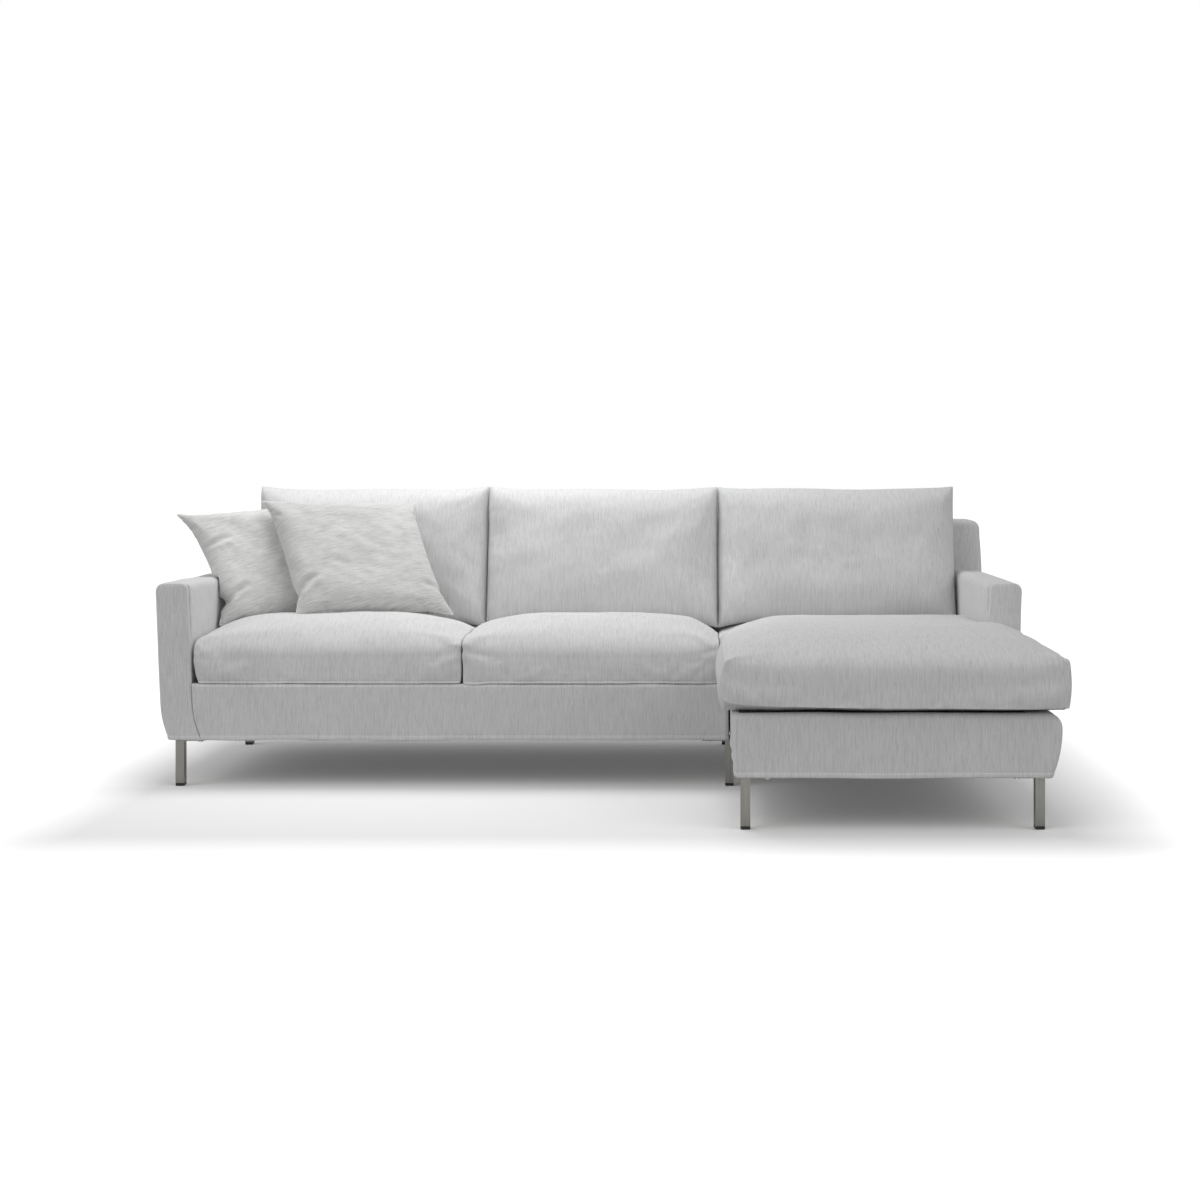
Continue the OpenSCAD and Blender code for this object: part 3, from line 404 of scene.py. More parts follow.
# Camera
FOCAL, SENSOR, FRAME_PX = 51.84, 36.0, 1200.0
VANISHING = (700.0, 475.0)
camera = add_object("camera", bpy.data.cameras.new("camera"))
camera.location = (0.348, -5.1175, 0.903)
camera.rotation_euler = (math.pi / 2, 0, 0)
camera.data.lens = FOCAL
camera.data.sensor_width = SENSOR
camera.data.shift_x = -(VANISHING[0] - FRAME_PX / 2) / FRAME_PX
camera.data.shift_y = (VANISHING[1] - FRAME_PX / 2) / FRAME_PX
bpy.context.scene.camera = camera


# Frames' upholstery
HEM = [0, 1.5, 4, 8, 11, 12.5, 14, 17]


def hem(above):
    """How far a folded hem stands proud, at a height above the lower edge."""
    return np.interp(above, [0, 1.5, 4, 9, 11.5, 12.7, 14.5, 18], [0.4, 1.2, 1.6, 1.3, 0.7, -0.9, -0.2, 0])


def dress(pts, quads, seed, soft, droop):
    """Adds the hem along the lower edge, its slack line, and the slight unevenness of stretched cloth."""
    n = normals_of(pts, outward(pts, quads))
    above = pts[:, 2] - BASE_Z
    flat = n * np.array([1, 1, 0])
    low = part(1 - above / 40) ** 2
    out = pts + flat * hem(above)[:, None]
    out += flat * (waves(pts, seed + 1, 170, (1, 1, 4)) * low * 1.3)[:, None]
    out[:, 2] += (waves(pts * np.array([1, 1, 0]), seed + 2, 330) - 0.3) * low * droop * 0.35
    out += n * (waves(pts, seed, 210) * soft + waves(pts, seed + 3, 70) * soft * 0.25)[:, None]
    return out


WELT_Z = np.array([0, 1.4, 2.8, 4.6, 6.4, 7.6, 8.8, 11, 15])


def welt(above):
    """How far the sewn edge along the bottom of a cushion's front stands proud, with the groove over it."""
    return 2.0 * bell(above - 2.6, 2.2) - 1.7 * bell(above - 7.4, 1.7)


def end_seam(d):
    """The seam round a cushion's end, at a distance from that end."""
    return 0.8 * bell(d - 4.5, 2.5) - 1.3 * bell(d - 8.6, 1.6)


def slab(us, vs, depth, outline, place):
    """A rounded block: an outline in two directions, at depths that each have an inset."""
    idx, quads = lattice(len(us) - 1, len(vs) - 1, len(depth) - 1)
    u, v = us[idx[:, 0]], vs[idx[:, 1]]
    d, inset = depth[idx[:, 2], 0], depth[idx[:, 2], 1]
    face = np.where(idx[:, 2] == 0, -1, np.where(idx[:, 2] == len(depth) - 1, 1, 0))
    p, q = outline(u, v, inset)
    return place(u, p, q, d, face), quads


def upright(width, top, r_out, r_in):
    """Outline of an arm seen from the front: u from 0 at the outer side to 1, v a height. Its top corners are
    rounded, and its outer side leans and curves in."""
    def outline(u, v, inset):
        z = drawn_in(v, inset, top, 0.15)
        t = top - inset - z
        lo = side_in(z) + inset + corner_fall(t, np.maximum(r_out - inset * 0.5, 1))
        hi = width - inset - corner_fall(t, np.maximum(r_in - inset * 0.5, 1))
        return lo + (hi - lo) * u, z
    return outline


def heights(top, r, step):
    """Heights from the lower edge to a top that is rounded with r."""
    return stations(BASE_Z, top, step, HEM, arc(r, 7))


def module_of(node):
    return node.split("_")[0] + "_module"


def upholster(name, form, node, seed, soft=0.7, droop=1.6):
    """Puts a covered form in the scene. soft and droop are how uneven its cloth is, and its lower edge."""
    pts, quads = form
    put(name, dress(pts, quads, seed, soft, droop), quads, CLOTH, module_of(node), "upholstery_fabric",
        [node])


def arm(side, name_end, module):
    """The padded arm and the sewn panel on its front. side is 1 for the left arm and -1 for the right."""
    start = X0 if side > 0 else X1

    def from_end(p):
        return start + side * p

    us = shares(0.09, 0.02, 0.05)
    vs = heights(ARM_H, ARM_R, 14)
    depth = edge_round(YF + PAD_T + 0.3, back_front(ARM_H) - 0.5, 5, 2, 16)

    def place(u, p, q, d, face):
        first = YF + PAD_T
        y = first + 0.3 + (d - first - 0.3) * (back_front(q) - 0.5 - first) / (back_front(ARM_H) - first)
        on_side = np.abs(2 * u - 1) > 0.99
        bulge = 1.5 * np.sin(math.pi * part((q - BASE_Z) / (ARM_H - BASE_Z))) * on_side
        return np.stack([from_end(p + bulge * np.sign(u - 0.5)), y, q], 1)

    form = slab(us, vs, depth, upright(ARM_T, ARM_H, ARM_R, ARM_R_IN), place)
    upholster("arm_cover_" + name_end, form, module + "_arm_cover", 11 + side)

    low = BASE_Z if side > 0 else DECK_TOP + 0.5
    us = shares(0.1, 0.015, 0.035, 0.06, 0.09)
    vs = heights(ARM_H, ARM_R, 14)
    depth = edge_round(YF, YF + PAD_T, 6, 1.5, 6)

    def outline(u, v, inset):
        z = drawn_in(v, inset, ARM_H, 0.15)
        t = ARM_H - inset - z
        lo = side_in(z) + inset + corner_fall(t, np.maximum(ARM_R - inset / 2, 1))
        wide = ARM_FRONT_W + side_in(z) - inset - corner_fall(t, ARM_R_IN)
        limit = np.where(z < low, ARM_T - PAD_T - 0.5, 1e9) if side < 0 else 1e9
        return lo + (np.minimum(wide, limit) - lo) * u, z

    def place_front(u, p, q, d, face):
        edge = np.minimum(np.minimum(u, 1 - u) * 90, ARM_H - q)
        puff = 3.0 * (1 - np.exp(-np.maximum(edge, 0) / 18)) - 1.1 * bell(edge - 6.0, 1.6)
        y = d - np.where(face < 0, puff, 0)
        return np.stack([from_end(p), y, q], 1)

    form = slab(us, vs, depth, outline, place_front)
    upholster("arm_front_" + name_end, form, module + "_arm_front_panel", 21 + side, 0.4)


def back(side, width, name, node):
    """The padded back of a module."""
    start = X0 if side > 0 else X1
    us = shares(0.03, 0.004, 0.012, 0.024)
    vs = heights(BACK_H, 30, 18)
    depth = edge_round(0, BACK_T, 20, 22, 18, 5)
    lean = SIDE_LEAN * (BACK_H - ARM_H) / 2

    def outline(u, v, inset):
        z = drawn_in(v, inset, BACK_H, 0.1)
        t = BACK_H - inset - z
        lo = np.where(z > ARM_H, lean * part((z - ARM_H) / 100), side_in(z)) + inset * 0.8
        lo = lo + corner_fall(t, 30)
        return lo + (width - inset * 0.6 - lo) * u, z

    def place(u, p, q, d, face):
        seam = np.minimum(p, width - p)
        puff = np.where(face > 0, 4 * (1 - np.exp(-np.maximum(np.minimum(seam, BACK_H - q), 0) / 25)), 0)
        y = back_front(q) + d + puff - 1.5 * (face > 0)
        return np.stack([start + side * p, y, q], 1)

    upholster(name, slab(us, vs, depth, outline, place), node, 31 + side, 0.9)


def base_panels():
    """Front panel of the two-seat module, and the front, left and right panels of the chaise base."""
    left = X0 + ARM_FRONT_W + 0.6
    us = shares(0.012, 0.001, 0.0025, 0.005)
    vs = heights(DECK_TOP, 9, 12)
    depth = edge_round(YF, YF + PAD_T, 9, 2, 6)

    def outline(u, v, inset):
        z = drawn_in(v, inset)
        lo = left + side_in(z) + inset * 0.2
        return lo + (XS - inset - lo) * u, z

    def place(u, p, q, d, face):
        seam = p - left - side_in(q)
        y = d - (face < 0) * (1.6 * (1 - np.exp(-seam / 20)) - 1.0 * bell(seam - 6, 1.8))
        return np.stack([p, y, q], 1)

    upholster("base_front_sofa", slab(us, vs, depth, outline, place), "sofa_front_panel", 41, 0.6)

    # Chaise front, wrapped round its right end
    us = stations(0, 1, 0.014, [0.0015, 0.004, 0.0065, 0.009, 0.0115, 0.014, 0.02],
                  [0.002, 0.006, 0.012, 0.024, 0.04])
    vs = heights(DECK_TOP, 30, 12)
    depth = edge_round(YC, YC + CHAISE_FRONT_T, 14, 2, 6)

    def outline(u, v, inset):
        z = drawn_in(v, inset)
        hi = X1 - side_in(z) - inset - corner_fall(DECK_TOP - inset - z, 40)
        lo = XC - np.interp(z, [BASE_Z, BASE_Z + 26, DECK_TOP], [0, 2, 6]) + inset * 0.5
        return lo + (hi - lo) * u, z

    def place(u, p, q, d, face):
        y = d - (face < 0) * 1.5 * np.sin(math.pi * part(u)) ** 0.5
        y -= (face < 0) * end_seam(np.maximum(p - XC + 2, 0))
        return np.stack([p, y, q], 1)

    upholster("base_front_chaise", slab(us, vs, depth, outline, place), "chaise_front_panel", 43)

    # Side panels that face each other at the joint
    for name, x, node, front in (("base_end_sofa", XS - PAD_T, "sofa_end_panel", YF + PAD_T),
                                 ("base_left_chaise", XC, "chaise_left_panel", YC + CHAISE_FRONT_T)):
        us = shares(0.02, 0.003, 0.008)
        vs = heights(DECK_TOP, 6, 14)
        depth = edge_round(x, x + PAD_T, 4, 3, 6)

        def outline(u, v, inset, front=front):
            z = drawn_in(v, inset)
            lo, hi = front + 0.3 + inset, back_front(z) - 0.5
            return lo + (hi - lo) * u, z

        def place(u, p, q, d, face, out=-9 if name == "base_left_chaise" else 0):
            swell = np.interp(q, [BASE_Z, BASE_Z + 26, DECK_TOP - 40, DECK_TOP], [0, 0.35, 1, 0.7])
            return np.stack([d + out * swell * part((YF - p) / (YF - YC)) * (face < 0), p, q], 1)

        upholster(name, slab(us, vs, depth, outline, place), node, 45, 0.2, 0.8)

    # Right side of the chaise base in front of the arm
    front, rear = YC + CHAISE_FRONT_T + 0.3, YF - 0.3
    us = stations(0, 1, 0.1, [0.03, 0.08, 0.16, 0.28], [0.03])
    vs = heights(DECK_TOP, 40, 12)
    depth = edge_round(front, rear, 3, 6, 14)

    def outline(u, v, inset):
        z = drawn_in(v, inset)
        lo = side_in(z) + inset + corner_fall(DECK_TOP - inset - z, 40)
        return lo + (ARM_T - lo) * u, z

    form = slab(us, vs, depth, outline, lambda u, p, q, d, face: np.stack([X1 - p, d, q], 1))
    upholster("base_side_chaise", form, "chaise_side_cover", 47)


def deck(name, x0, x1, y0, node):
    """The felted deck that the seat cushions lie on."""
    us = vs = shares(0.03, 0.004, 0.01)
    depth = edge_round(DECK_Z, DECK_TOP, 3, 4, 6)

    def outline(u, v, inset):
        deep = back_front(DECK_TOP) - 1 - y0
        return x0 + inset + (x1 - x0 - 2 * inset) * u, y0 + inset + (deep - 2 * inset) * v

    def place(u, p, q, d, face):
        return np.stack([p, q, d - (face > 0) * 0.6 * (1 + np.sin(p / 38) * np.sin(q / 38))], 1)

    pts, quads = slab(us, vs, depth, outline, place)
    put(name, pts, quads, FINISH["deck_felt"], module_of(node), "deck_felt", [node])


# Cushions
def settle(pts, quads, pins, pressure, slack, frames, cap, bending=0.5, quality=5):
    """Lets cloth settle over the form under a little air pressure, and returns where its points end up, each
    moved by cap at most."""
    if not SIMULATE:
        return pts
    quads = outward(pts, quads)
    mesh = to_mesh("settling", pts, quads)
    obj = add_object("settling", mesh)
    mod = obj.modifiers.new("cloth", "CLOTH")
    s = mod.settings
    if pins is not None:
        group = obj.vertex_groups.new(name="pins")
        s.vertex_group_mass = "pins"
        for i, w in enumerate(pins):
            if w > 0:
                group.add([i], float(w), "REPLACE")
    s.quality = quality
    s.mass = 0.3
    s.tension_stiffness = s.compression_stiffness = 15
    s.shear_stiffness = 5
    s.bending_stiffness = bending
    s.tension_damping = s.compression_damping = 8
    s.use_pressure = True
    s.uniform_pressure_force = pressure
    s.shrink_min = slack
    s.effector_weights.gravity = 0
    mod.collision_settings.use_self_collision = False
    mod.collision_settings.use_collision = False
    scene = bpy.context.scene
    mod.point_cache.frame_start, mod.point_cache.frame_end = 1, frames
    for f in range(1, frames + 1):
        scene.frame_set(f)
    graph = bpy.context.evaluated_depsgraph_get()
    out = np.zeros(len(pts) * 3, np.float32)
    obj.evaluated_get(graph).data.vertices.foreach_get("co", out)
    bpy.data.objects.remove(obj)
    bpy.data.meshes.remove(mesh)
    scene.frame_set(1)
    move = out.reshape(-1, 3).astype(float) / MM - pts
    size = np.linalg.norm(move, axis=1, keepdims=True)
    return pts + move * np.minimum(1, cap / np.maximum(size, 1e-6))


def seat(which, x0, x1, seed, crisp, tucks, hang):
    """A seat cushion. crisp says how sharp the corner of its front and top is at the left and the right end.
    tucks are folds that start at an end: X, height above the deck, length and depth. hang is how far the
    front's lower left corner hangs."""
    front, rear = YF + 2, back_front(CUSHION_Z) - 3
    d = rear - front
    r_front, r_rear, r_end = 38.0, 20.0, 11.0
    ys = stations(0, d, 12, arc(r_front, 8), arc(r_rear, 5))
    zs = stations(0, 1, 0.075, WELT_Z[1:] / SEAT_EDGE, [0.03])
    ends = np.array([0, 0.6, 2.2, 4.5, 6.8, 8.6, 10.4, 13, 18])
    between = np.linspace(x0 + ends[-1], x1 - ends[-1], 60)
    xs = np.array(sorted(set(np.round([*(x0 + ends), *(x1 - ends), *between], 4))))
    half = (x1 - x0) / 2
    idx, quads = lattice(len(ys) - 1, len(zs) - 1, len(xs) - 1)
    u, v, x = ys[idx[:, 0]], zs[idx[:, 1]], xs[idx[:, 2]]
    end = np.minimum(x - x0, x1 - x)
    inset = corner_fall(end, r_end)
    y = inset * 0.8 + u * (d - inset * 1.6) / d
    across = (x - (x0 + x1) / 2) / half
    middle = SEAT_EDGE + SEAT_CROWN * hump(2 * y / d - 1, -0.3, 0.45, SEAT_SHELF)
    at_end = SEAT_EDGE + np.interp(y, [0, 270, 330, 420, 560], [13, 23, 20, -5, -5])
    top = at_end + (middle - at_end) * (1 - np.abs(across) ** 4) - inset * 0.8
    near_left, near_right = [part(1 - far / 130) ** 2 for far in (x - x0, x1 - x)]
    sharp = crisp[0] * near_left + crisp[1] * near_right
    top -= hang * 4 * part(1 - (x1 - x) / 48) ** 2 + 4 * part((y - 390) / 40)
    top -= corner_fall(u, r_front) * (1 - 0.62 * sharp) + corner_fall(d - u, r_rear)
    low = corner_fall(d - u, 8) + inset * 0.3
    z = low + (top - low) * v
    on_front = part(1 - u / 30)
    y -= on_front * 4.5 * np.sin(math.pi * part(v)) * (1 - np.abs(across) ** 6)
    lean = np.where((across < 0) & (crisp[0] == 0), 13.0, 1.5)
    lean *= np.interp(z, [0, 25, 70, 200], [1, 0.45, 0, 0])
    x = x + np.where(across < 0, 1, -1) * lean * part(1 - end / 60)
    pts = np.stack([x, front + y, CUSHION_Z + z], 1)
    pins = np.where(idx[:, 1] == 0, 1.0, np.where(end < 6, 0.85, 0.0))
    pts = settle(pts, quads, pins, 2.5, -0.015, 14, 6.0)
    pts = finish_cushion(pts, quads, seed)
    n = normals_of(pts, outward(pts, quads))
    pts += n * (end_seam(end) * (n[:, 2] > -0.5))[:, None]
    in_front = (idx[:, 0] == 0) & (idx[:, 1] < len(zs) - 1)
    pts[:, 1] -= np.where(in_front, welt(z), 0)
    for tx, tz, length, depth in tucks:
        away = np.abs(pts[:, 0] - tx)
        along = np.where((pts[:, 0] - tx) * np.sign((x0 + x1) / 2 - tx) >= -2, away, 1e9)
        line = pts[:, 2] - CUSHION_Z - tz + 0.25 * along
        near_front = part(1 - (pts[:, 1] - front) / 60)
        fold = bell(line, 7) * part(1 - along / length) * near_front
        puff = bell(line + 16, 11) * part(1 - along / length) * near_front
        pts += n * ((0.6 * puff - fold) * depth)[:, None]
    lower = bell(pts[:, 0] - x0 - 34, 30) * part(1 - (pts[:, 1] - front) / 9)
    pts[:, 2] -= hang * lower * np.exp(-np.maximum(z, 0) / 14)
    pts[:, 1] -= np.where(hang > 0, 3.0 * lower * np.exp(-np.maximum(z, 0) / 20), 0)
    pts[:, 0] = np.clip(pts[:, 0], x0, x1)
    pts[:, 1] = np.minimum(pts[:, 1], rear)
    node = "seat_cushion_" + which
    put("seat_" + which, pts, quads, CLOTH, node + "_body", "cushion_fabric", [node])


def finish_cushion(pts, quads, seed, amount=1.0):
    """Slow unevenness of a filled cover, and no point below the deck."""
    n = normals_of(pts, outward(pts, quads))
    out = pts + n * (amount * (waves(pts, seed, 230) * 1.3 + waves(pts, seed + 5, 85) * 0.45))[:, None]
    out[:, 2] = np.maximum(out[:, 2], CUSHION_Z)
    return out


def chaise_seat(seed):
    """The long cushion, wide in front of the arm and narrow beside it."""
    rear = back_front(CUSHION_Z) - 3
    near = [0.6, 2.2, 4.5, 6.8, 8.6, 10.4, 13, 18, 28]
    xs = stations(CHAISE_L, X1, 15, near, near)
    ys = stations(CHAISE_FRONT, rear, 15, [1.5, 4, 7, 11, 16, 22, 29, 37, 46], [3, 8, 15, 26])
    xs, ys = [np.array(sorted([p for p in places if abs(p - at) > 7] + [at]))
              for places, at in ((xs, CHAISE_STEP_X), (ys, CHAISE_STEP_Y))]
    zs = np.array([0, 0.02, 0.06, 0.14, 0.26, 0.38, 0.5, 0.62, 0.74, 0.84, 0.91, 0.95, 0.98, 1.0])
    mask = np.ones((len(xs) - 1, len(ys) - 1), bool)
    mask[np.ix_(xs[:-1] >= CHAISE_STEP_X - 0.01, ys[:-1] >= CHAISE_STEP_Y - 0.01)] = False
    idx, quads = blocks(mask, len(zs) - 1)
    x, y, v = xs[idx[:, 0]], ys[idx[:, 1]], zs[idx[:, 2]]
    on_top = idx[:, 2] == len(zs) - 1
    share = 2 * (y - CHAISE_FRONT) / (rear - CHAISE_FRONT) - 1
    low_crown, rise = 137, 47
    first = hump(share, -0.45, 0.1, 0.85)
    second = 0.85 * hump(share, 0.45, 0.72, 0)
    rear_edge = SEAT_EDGE + SEAT_SHELF * SEAT_CROWN - 4
    sink = 8 * part((y + 150) / 340) ** 2
    full_height = low_crown + rise * 0.85 - 8
    middle = np.where(share < 0.45, low_crown + rise * first - sink,
                      rear_edge + (full_height - rear_edge) * second / 0.85)
    left = np.interp(y, [CHAISE_FRONT, -600, -220, -80, 60, 190], [141, 143, 144, 128, 112, 104])
    right = np.interp(y, [CHAISE_FRONT, -600, -180, 200, 300, 380], [141, 145, 151, 151, 135, rear_edge])
    wide = (x - (CHAISE_L + X1) / 2) / ((X1 - CHAISE_L) / 2)
    side = np.where(wide < 0, left, right)
    top = side + (middle - side) * (1 - np.abs(wide) ** np.where(wide < 0, 6.5, 9))
    # The front rolls over softly, and the other edges are sewn
    roll = 10 + 28 * (1 - np.abs(np.clip(wide, -1, 1)) ** 8)
    step = np.maximum(CHAISE_STEP_X - x, CHAISE_STEP_Y - y)
    border = np.minimum.reduce([x - CHAISE_L, rear - y, X1 - x, step])
    top -= corner_fall(y - CHAISE_FRONT, roll) * 0.8 + corner_fall(border, 9) * 0.8
    # The lower front edge turns up, more towards the left
    lift = np.interp((x - CHAISE_L) / (X1 - CHAISE_L), [0, 0.02, 0.07, 0.17, 0.35, 0.6, 0.9, 1],
                     [33, 28, 24, 20, 17, 15, 14, 15])
    t = part((y - CHAISE_FRONT) / 90)
    low = lift * (1 - t * t * (3 - 2 * t))
    z = low + (top - low) * v
    # Rounded corners in plan, then the inset of the sides
    px, py = x.copy(), y.copy()
    for cx, sx, cy, sy, r in ((CHAISE_L, 1, CHAISE_FRONT, 1, 9), (X1, -1, CHAISE_FRONT, 1, 7),
                              (X1, -1, CHAISE_STEP_Y, -1, 18), (CHAISE_L, 1, rear, -1, 18),
                              (CHAISE_STEP_X, -1, rear, -1, 18)):
        a, b = r - sx * (px - cx), r - sy * (py - cy)
        close = (a > 0) & (b > 0) & (a <= r + 0.01) & (b <= r + 0.01)
        k = np.where(close, np.maximum(a, b) / np.maximum(np.hypot(a, b), 1e-6), 1.0)
        px, py = np.where(close, cx + sx * (r - a * k), px), np.where(close, cy + sy * (r - b * k), py)
    inset = np.interp(v, [0, 0.02, 0.06, 0.26, 0.5, 0.74, 0.91, 1.0], [2, 1, 0.5, 0, -0.5, 0, 0.5, 1.5])
    mid = (CHAISE_L + CHAISE_STEP_X) / 2
    fade = np.where(on_top, part(1 - np.minimum(border, y - CHAISE_FRONT) / 60), 1.0)
    dx = np.interp(px, [CHAISE_L, mid, CHAISE_STEP_X, X1], [1, 0, -1, -1])
    dy = np.interp(py, [CHAISE_FRONT, CHAISE_FRONT + 200, rear - 200, rear], [1, 0, 0, -1])
    dy = np.where((np.abs(y - CHAISE_STEP_Y) < 0.01) & (x > CHAISE_STEP_X - 0.01), -1, dy)
    pts = np.stack([px + dx * inset * fade, py + dy * inset * fade, CUSHION_Z + z], 1)
    pins = np.where(idx[:, 2] == 0, 1.0, np.where((border < 0.5) & (v > 0.9), 0.8, 0.0))
    pts = settle(pts, quads, pins, 2.0, -0.012, 14, 5.0)
    pts = finish_cushion(pts, quads, seed, 0.6)
    # The left side bellies out in front of the seat, the right side a little
    belly = np.sin(math.pi * part(v) ** 0.8) * part((YF - 20 - y) / 60)
    behind_corner = part((y - CHAISE_FRONT) / 26) ** 0.5
    pts[:, 0] -= 11.0 * belly * part(1 - (x - CHAISE_L) / 40) ** 2 * behind_corner
    pts[:, 0] += 0.5 * belly * part(1 - (X1 - x) / 40) ** 2
    n = normals_of(pts, outward(pts, quads))
    above = n[:, 2] > -0.5
    seams = end_seam(x - CHAISE_L) * part(1 - (y - CHAISE_FRONT) / 60)
    seams += end_seam(X1 - x) * (y < CHAISE_STEP_Y)
    pts += n * (seams * above)[:, None]
    # It is flat where it meets the seat and the arm
    pts[:, 0] = np.where(y > YF - 10, np.maximum(pts[:, 0], CHAISE_L), pts[:, 0])
    pts[:, 0] = np.where(y > CHAISE_STEP_Y + 5, np.minimum(pts[:, 0], CHAISE_STEP_X), pts[:, 0])
    put("chaise_seat_cushion", pts, quads, CLOTH, "chaise_cushion_body", "cushion_fabric", ["chaise_cushion"])


def full(t):
    return 1 - np.abs(t) ** 2.6


def inflate(us, vs, a, b, seed, pressure, frames):
    """Two panels, 2a by 2b, sewn together at their edges and blown up."""
    idx, quads = lattice(len(us) - 1, len(vs) - 1, 2)
    u, v, k = us[idx[:, 0]], vs[idx[:, 1]], idx[:, 2] - 1.0
    plump = full(u) * full(v)
    pts = np.stack([u * a, v * b, k * (1.0 + 9.0 * plump)], 1)
    at = pts * [1, 1, 9]
    pts[:, 2] += k * (waves(at, seed, 60) + waves(at, seed + 1, 26) * 0.4) * plump
    if SIMULATE:
        pts = settle(pts, quads, None, pressure, 0.0, frames, 1e9, 0.25, 6)
        pts[:, 2] -= pts[idx[:, 2] == 1, 2].mean()
    else:
        pts[:, 0] *= 1 - 0.09 * (1 - v * v)
        pts[:, 1] *= 1 - 0.09 * (1 - u * u)
        pts[:, 2] = k * (1 + 50 * plump)
    return idx, quads, pts


def level(pts, idx, axis, target):
    """Stretches each row across an axis so that its two ends lie at the target's distance from the middle."""
    out = pts.copy()
    row = idx[:, 1 - axis]
    last = idx[:, axis].max()
    for r in np.unique(row):
        mine = row == r
        lo = pts[mine & (idx[:, axis] == 0), axis].mean()
        hi = pts[mine & (idx[:, axis] == last), axis].mean()
        t = (pts[mine, axis] - lo) / (hi - lo)
        low, high = target(r)
        out[mine, axis] = low + t * (high - low)
    return out


def core(idx, pts, scale):
    """The filled insert: a smaller copy of the cover's form."""
    step = 3
    place = {tuple(key): i for i, key in enumerate(idx)}
    nu, nv = idx[:, 0].max() // step, idx[:, 1].max() // step
    small, quads = lattice(nu, nv, 2)
    picked = pts[[place[(i * step, j * step, k)] for i, j, k in small]] * scale
    return picked, quads


def pinch(s, d, seed, spacing, reach):
    """Small gathers along a seam, at the distance d from it: s runs along the seam."""
    rng = np.random.default_rng(seed)
    d = np.maximum(d, 0)
    out = np.zeros(len(s))
    at = s.min()
    while at < s.max():
        at += spacing * rng.uniform(0.5, 1.6)
        size = rng.uniform(0.3, 1.0)
        width = spacing * rng.uniform(0.10, 0.2)
        length = reach * rng.uniform(0.5, 1.3)
        slant = rng.uniform(-0.25, 0.25)
        out -= size * bell(s - at - slant * d, width) * np.exp(-(d / length) ** 1.5)
    return out


def back_cushion(which, x, w, seed, reach):
    """A loose back cushion: two panels sewn together at the edges, with ears at its upper corners. reach is
    how far its left and right sides press beyond its width against what is next to it."""
    foot = np.array([x, 462.9, 429.42])
    up = np.array([0, math.sin(CUSHION_LEAN), math.cos(CUSHION_LEAN)])
    out = np.array([0, -math.cos(CUSHION_LEAN), math.sin(CUSHION_LEAN)])
    a, b = w / 2, CUSHION_H / 2
    us, vs = [np.array([*(near - 1), *np.linspace(first / half - 1, 1 - first / half, n), *(1 - near[::-1])])
              for half, near, first, n in ((a, np.array([0, 4, 9, 16]) / a, 25, 65),
                                           (b, np.array([0, 6, 14]) / b, 24, 37))]
    idx, quads, pts = inflate(us, vs, a, b, seed, 3.5, 13)
    u, v = us[idx[:, 0]], vs[idx[:, 1]]
    rng = np.random.default_rng(seed)
    slack = np.where(np.array(reach) > 0, 0.0, rng.uniform(1.5, 4.0, 2))
    bow = rng.uniform(0.4, 1.0, 2)

    def sides(r):
        t = vs[r]
        return (-a - reach[0] + slack[0] * (1 - t * t), a + reach[1] - slack[1] * (1 - t * t))

    def ends(r):
        t = us[r]
        ear_left, ear_right = [k * math.exp(-(far / 0.10) ** 1.4) for k, far in zip(bow, (1 + t, 1 - t))]
        dip = 5.0 * (1 - t * t) * bow[0] + 2.0 * math.sin(5.0 * t + seed) * (1 - t ** 8)
        hang = 19.0 * math.exp(-((1 - abs(t)) / 0.16) ** 1.4)
        return (-b - hang, b - dip + 8.0 * (ear_left + ear_right))

    pts[:, 0], pts[:, 1] = u * a, v * b
    pts = level(level(pts, idx, 0, sides), idx, 1, ends)
    front = pts[:, 2] > 0
    pts[:, 2] *= np.where(front, FRONT_FILL / pts[:, 2].max(), REAR_FILL / -pts[:, 2].min())
    # The faces stay full near the bottom, where the filling sinks
    sink = 1 + 0.10 * bell(v + 0.45, 0.4) - 0.06 * bell(v - 0.7, 0.35)
    pts[:, 2] *= np.where(front, sink / 1.06, 1.0)
    # and they roll over steeply at the sides
    on_seam = idx[:, 2] == 1
    rise = (1 - np.exp(-(1 - np.abs(u)) * a / 9)) * (1 - np.exp(-(1 - np.abs(v)) * b / 16))
    steep = pts[:, 2] * (1 - SHOULDER / FRONT_FILL) + np.sign(pts[:, 2]) * SHOULDER * rise
    pts[:, 2] = np.where(on_seam, pts[:, 2], steep)
    n = normals_of(pts, outward(pts, quads))
    p, q = pts[:, 0], pts[:, 1]
    folds = pinch(q + b, np.minimum(a - p, 2 * a), seed, 42, 34) + pinch(q + b, p + a, seed + 3, 42, 34)
    folds += 0.8 * pinch(p + a, b - q, seed + 6, 70, 30)
    seam = np.minimum.reduce([a - np.abs(p), b - np.abs(q)])
    relief = folds * 3.0 * ~on_seam + waves(pts, seed + 9, 240) * 2.2 + waves(pts, seed + 11, 100) * 0.8
    pts += n * (relief * part(seam / 14))[:, None]
    cover = ("", pts, quads, "cushion_fabric", "cushion", 1.5)
    filled = ("_insert", *core(idx, pts, np.array([0.94, 0.90, 0.86])), "fibre_filling", "insert", 9)
    for end, local, faces, slot, stands_for, clear in (cover, filled):
        placed = foot + local[:, :1] * np.array([1, 0, 0]) + (local[:, 1:2] + b) * up + local[:, 2:] * out
        placed[:, 1] = np.minimum(placed[:, 1], back_front(placed[:, 2]) - clear)
        put("back_" + which + end, placed, faces, FINISH[slot], "back_cushion_%s_body" % which, slot,
            ["back_%s_%s" % (stands_for, which)])


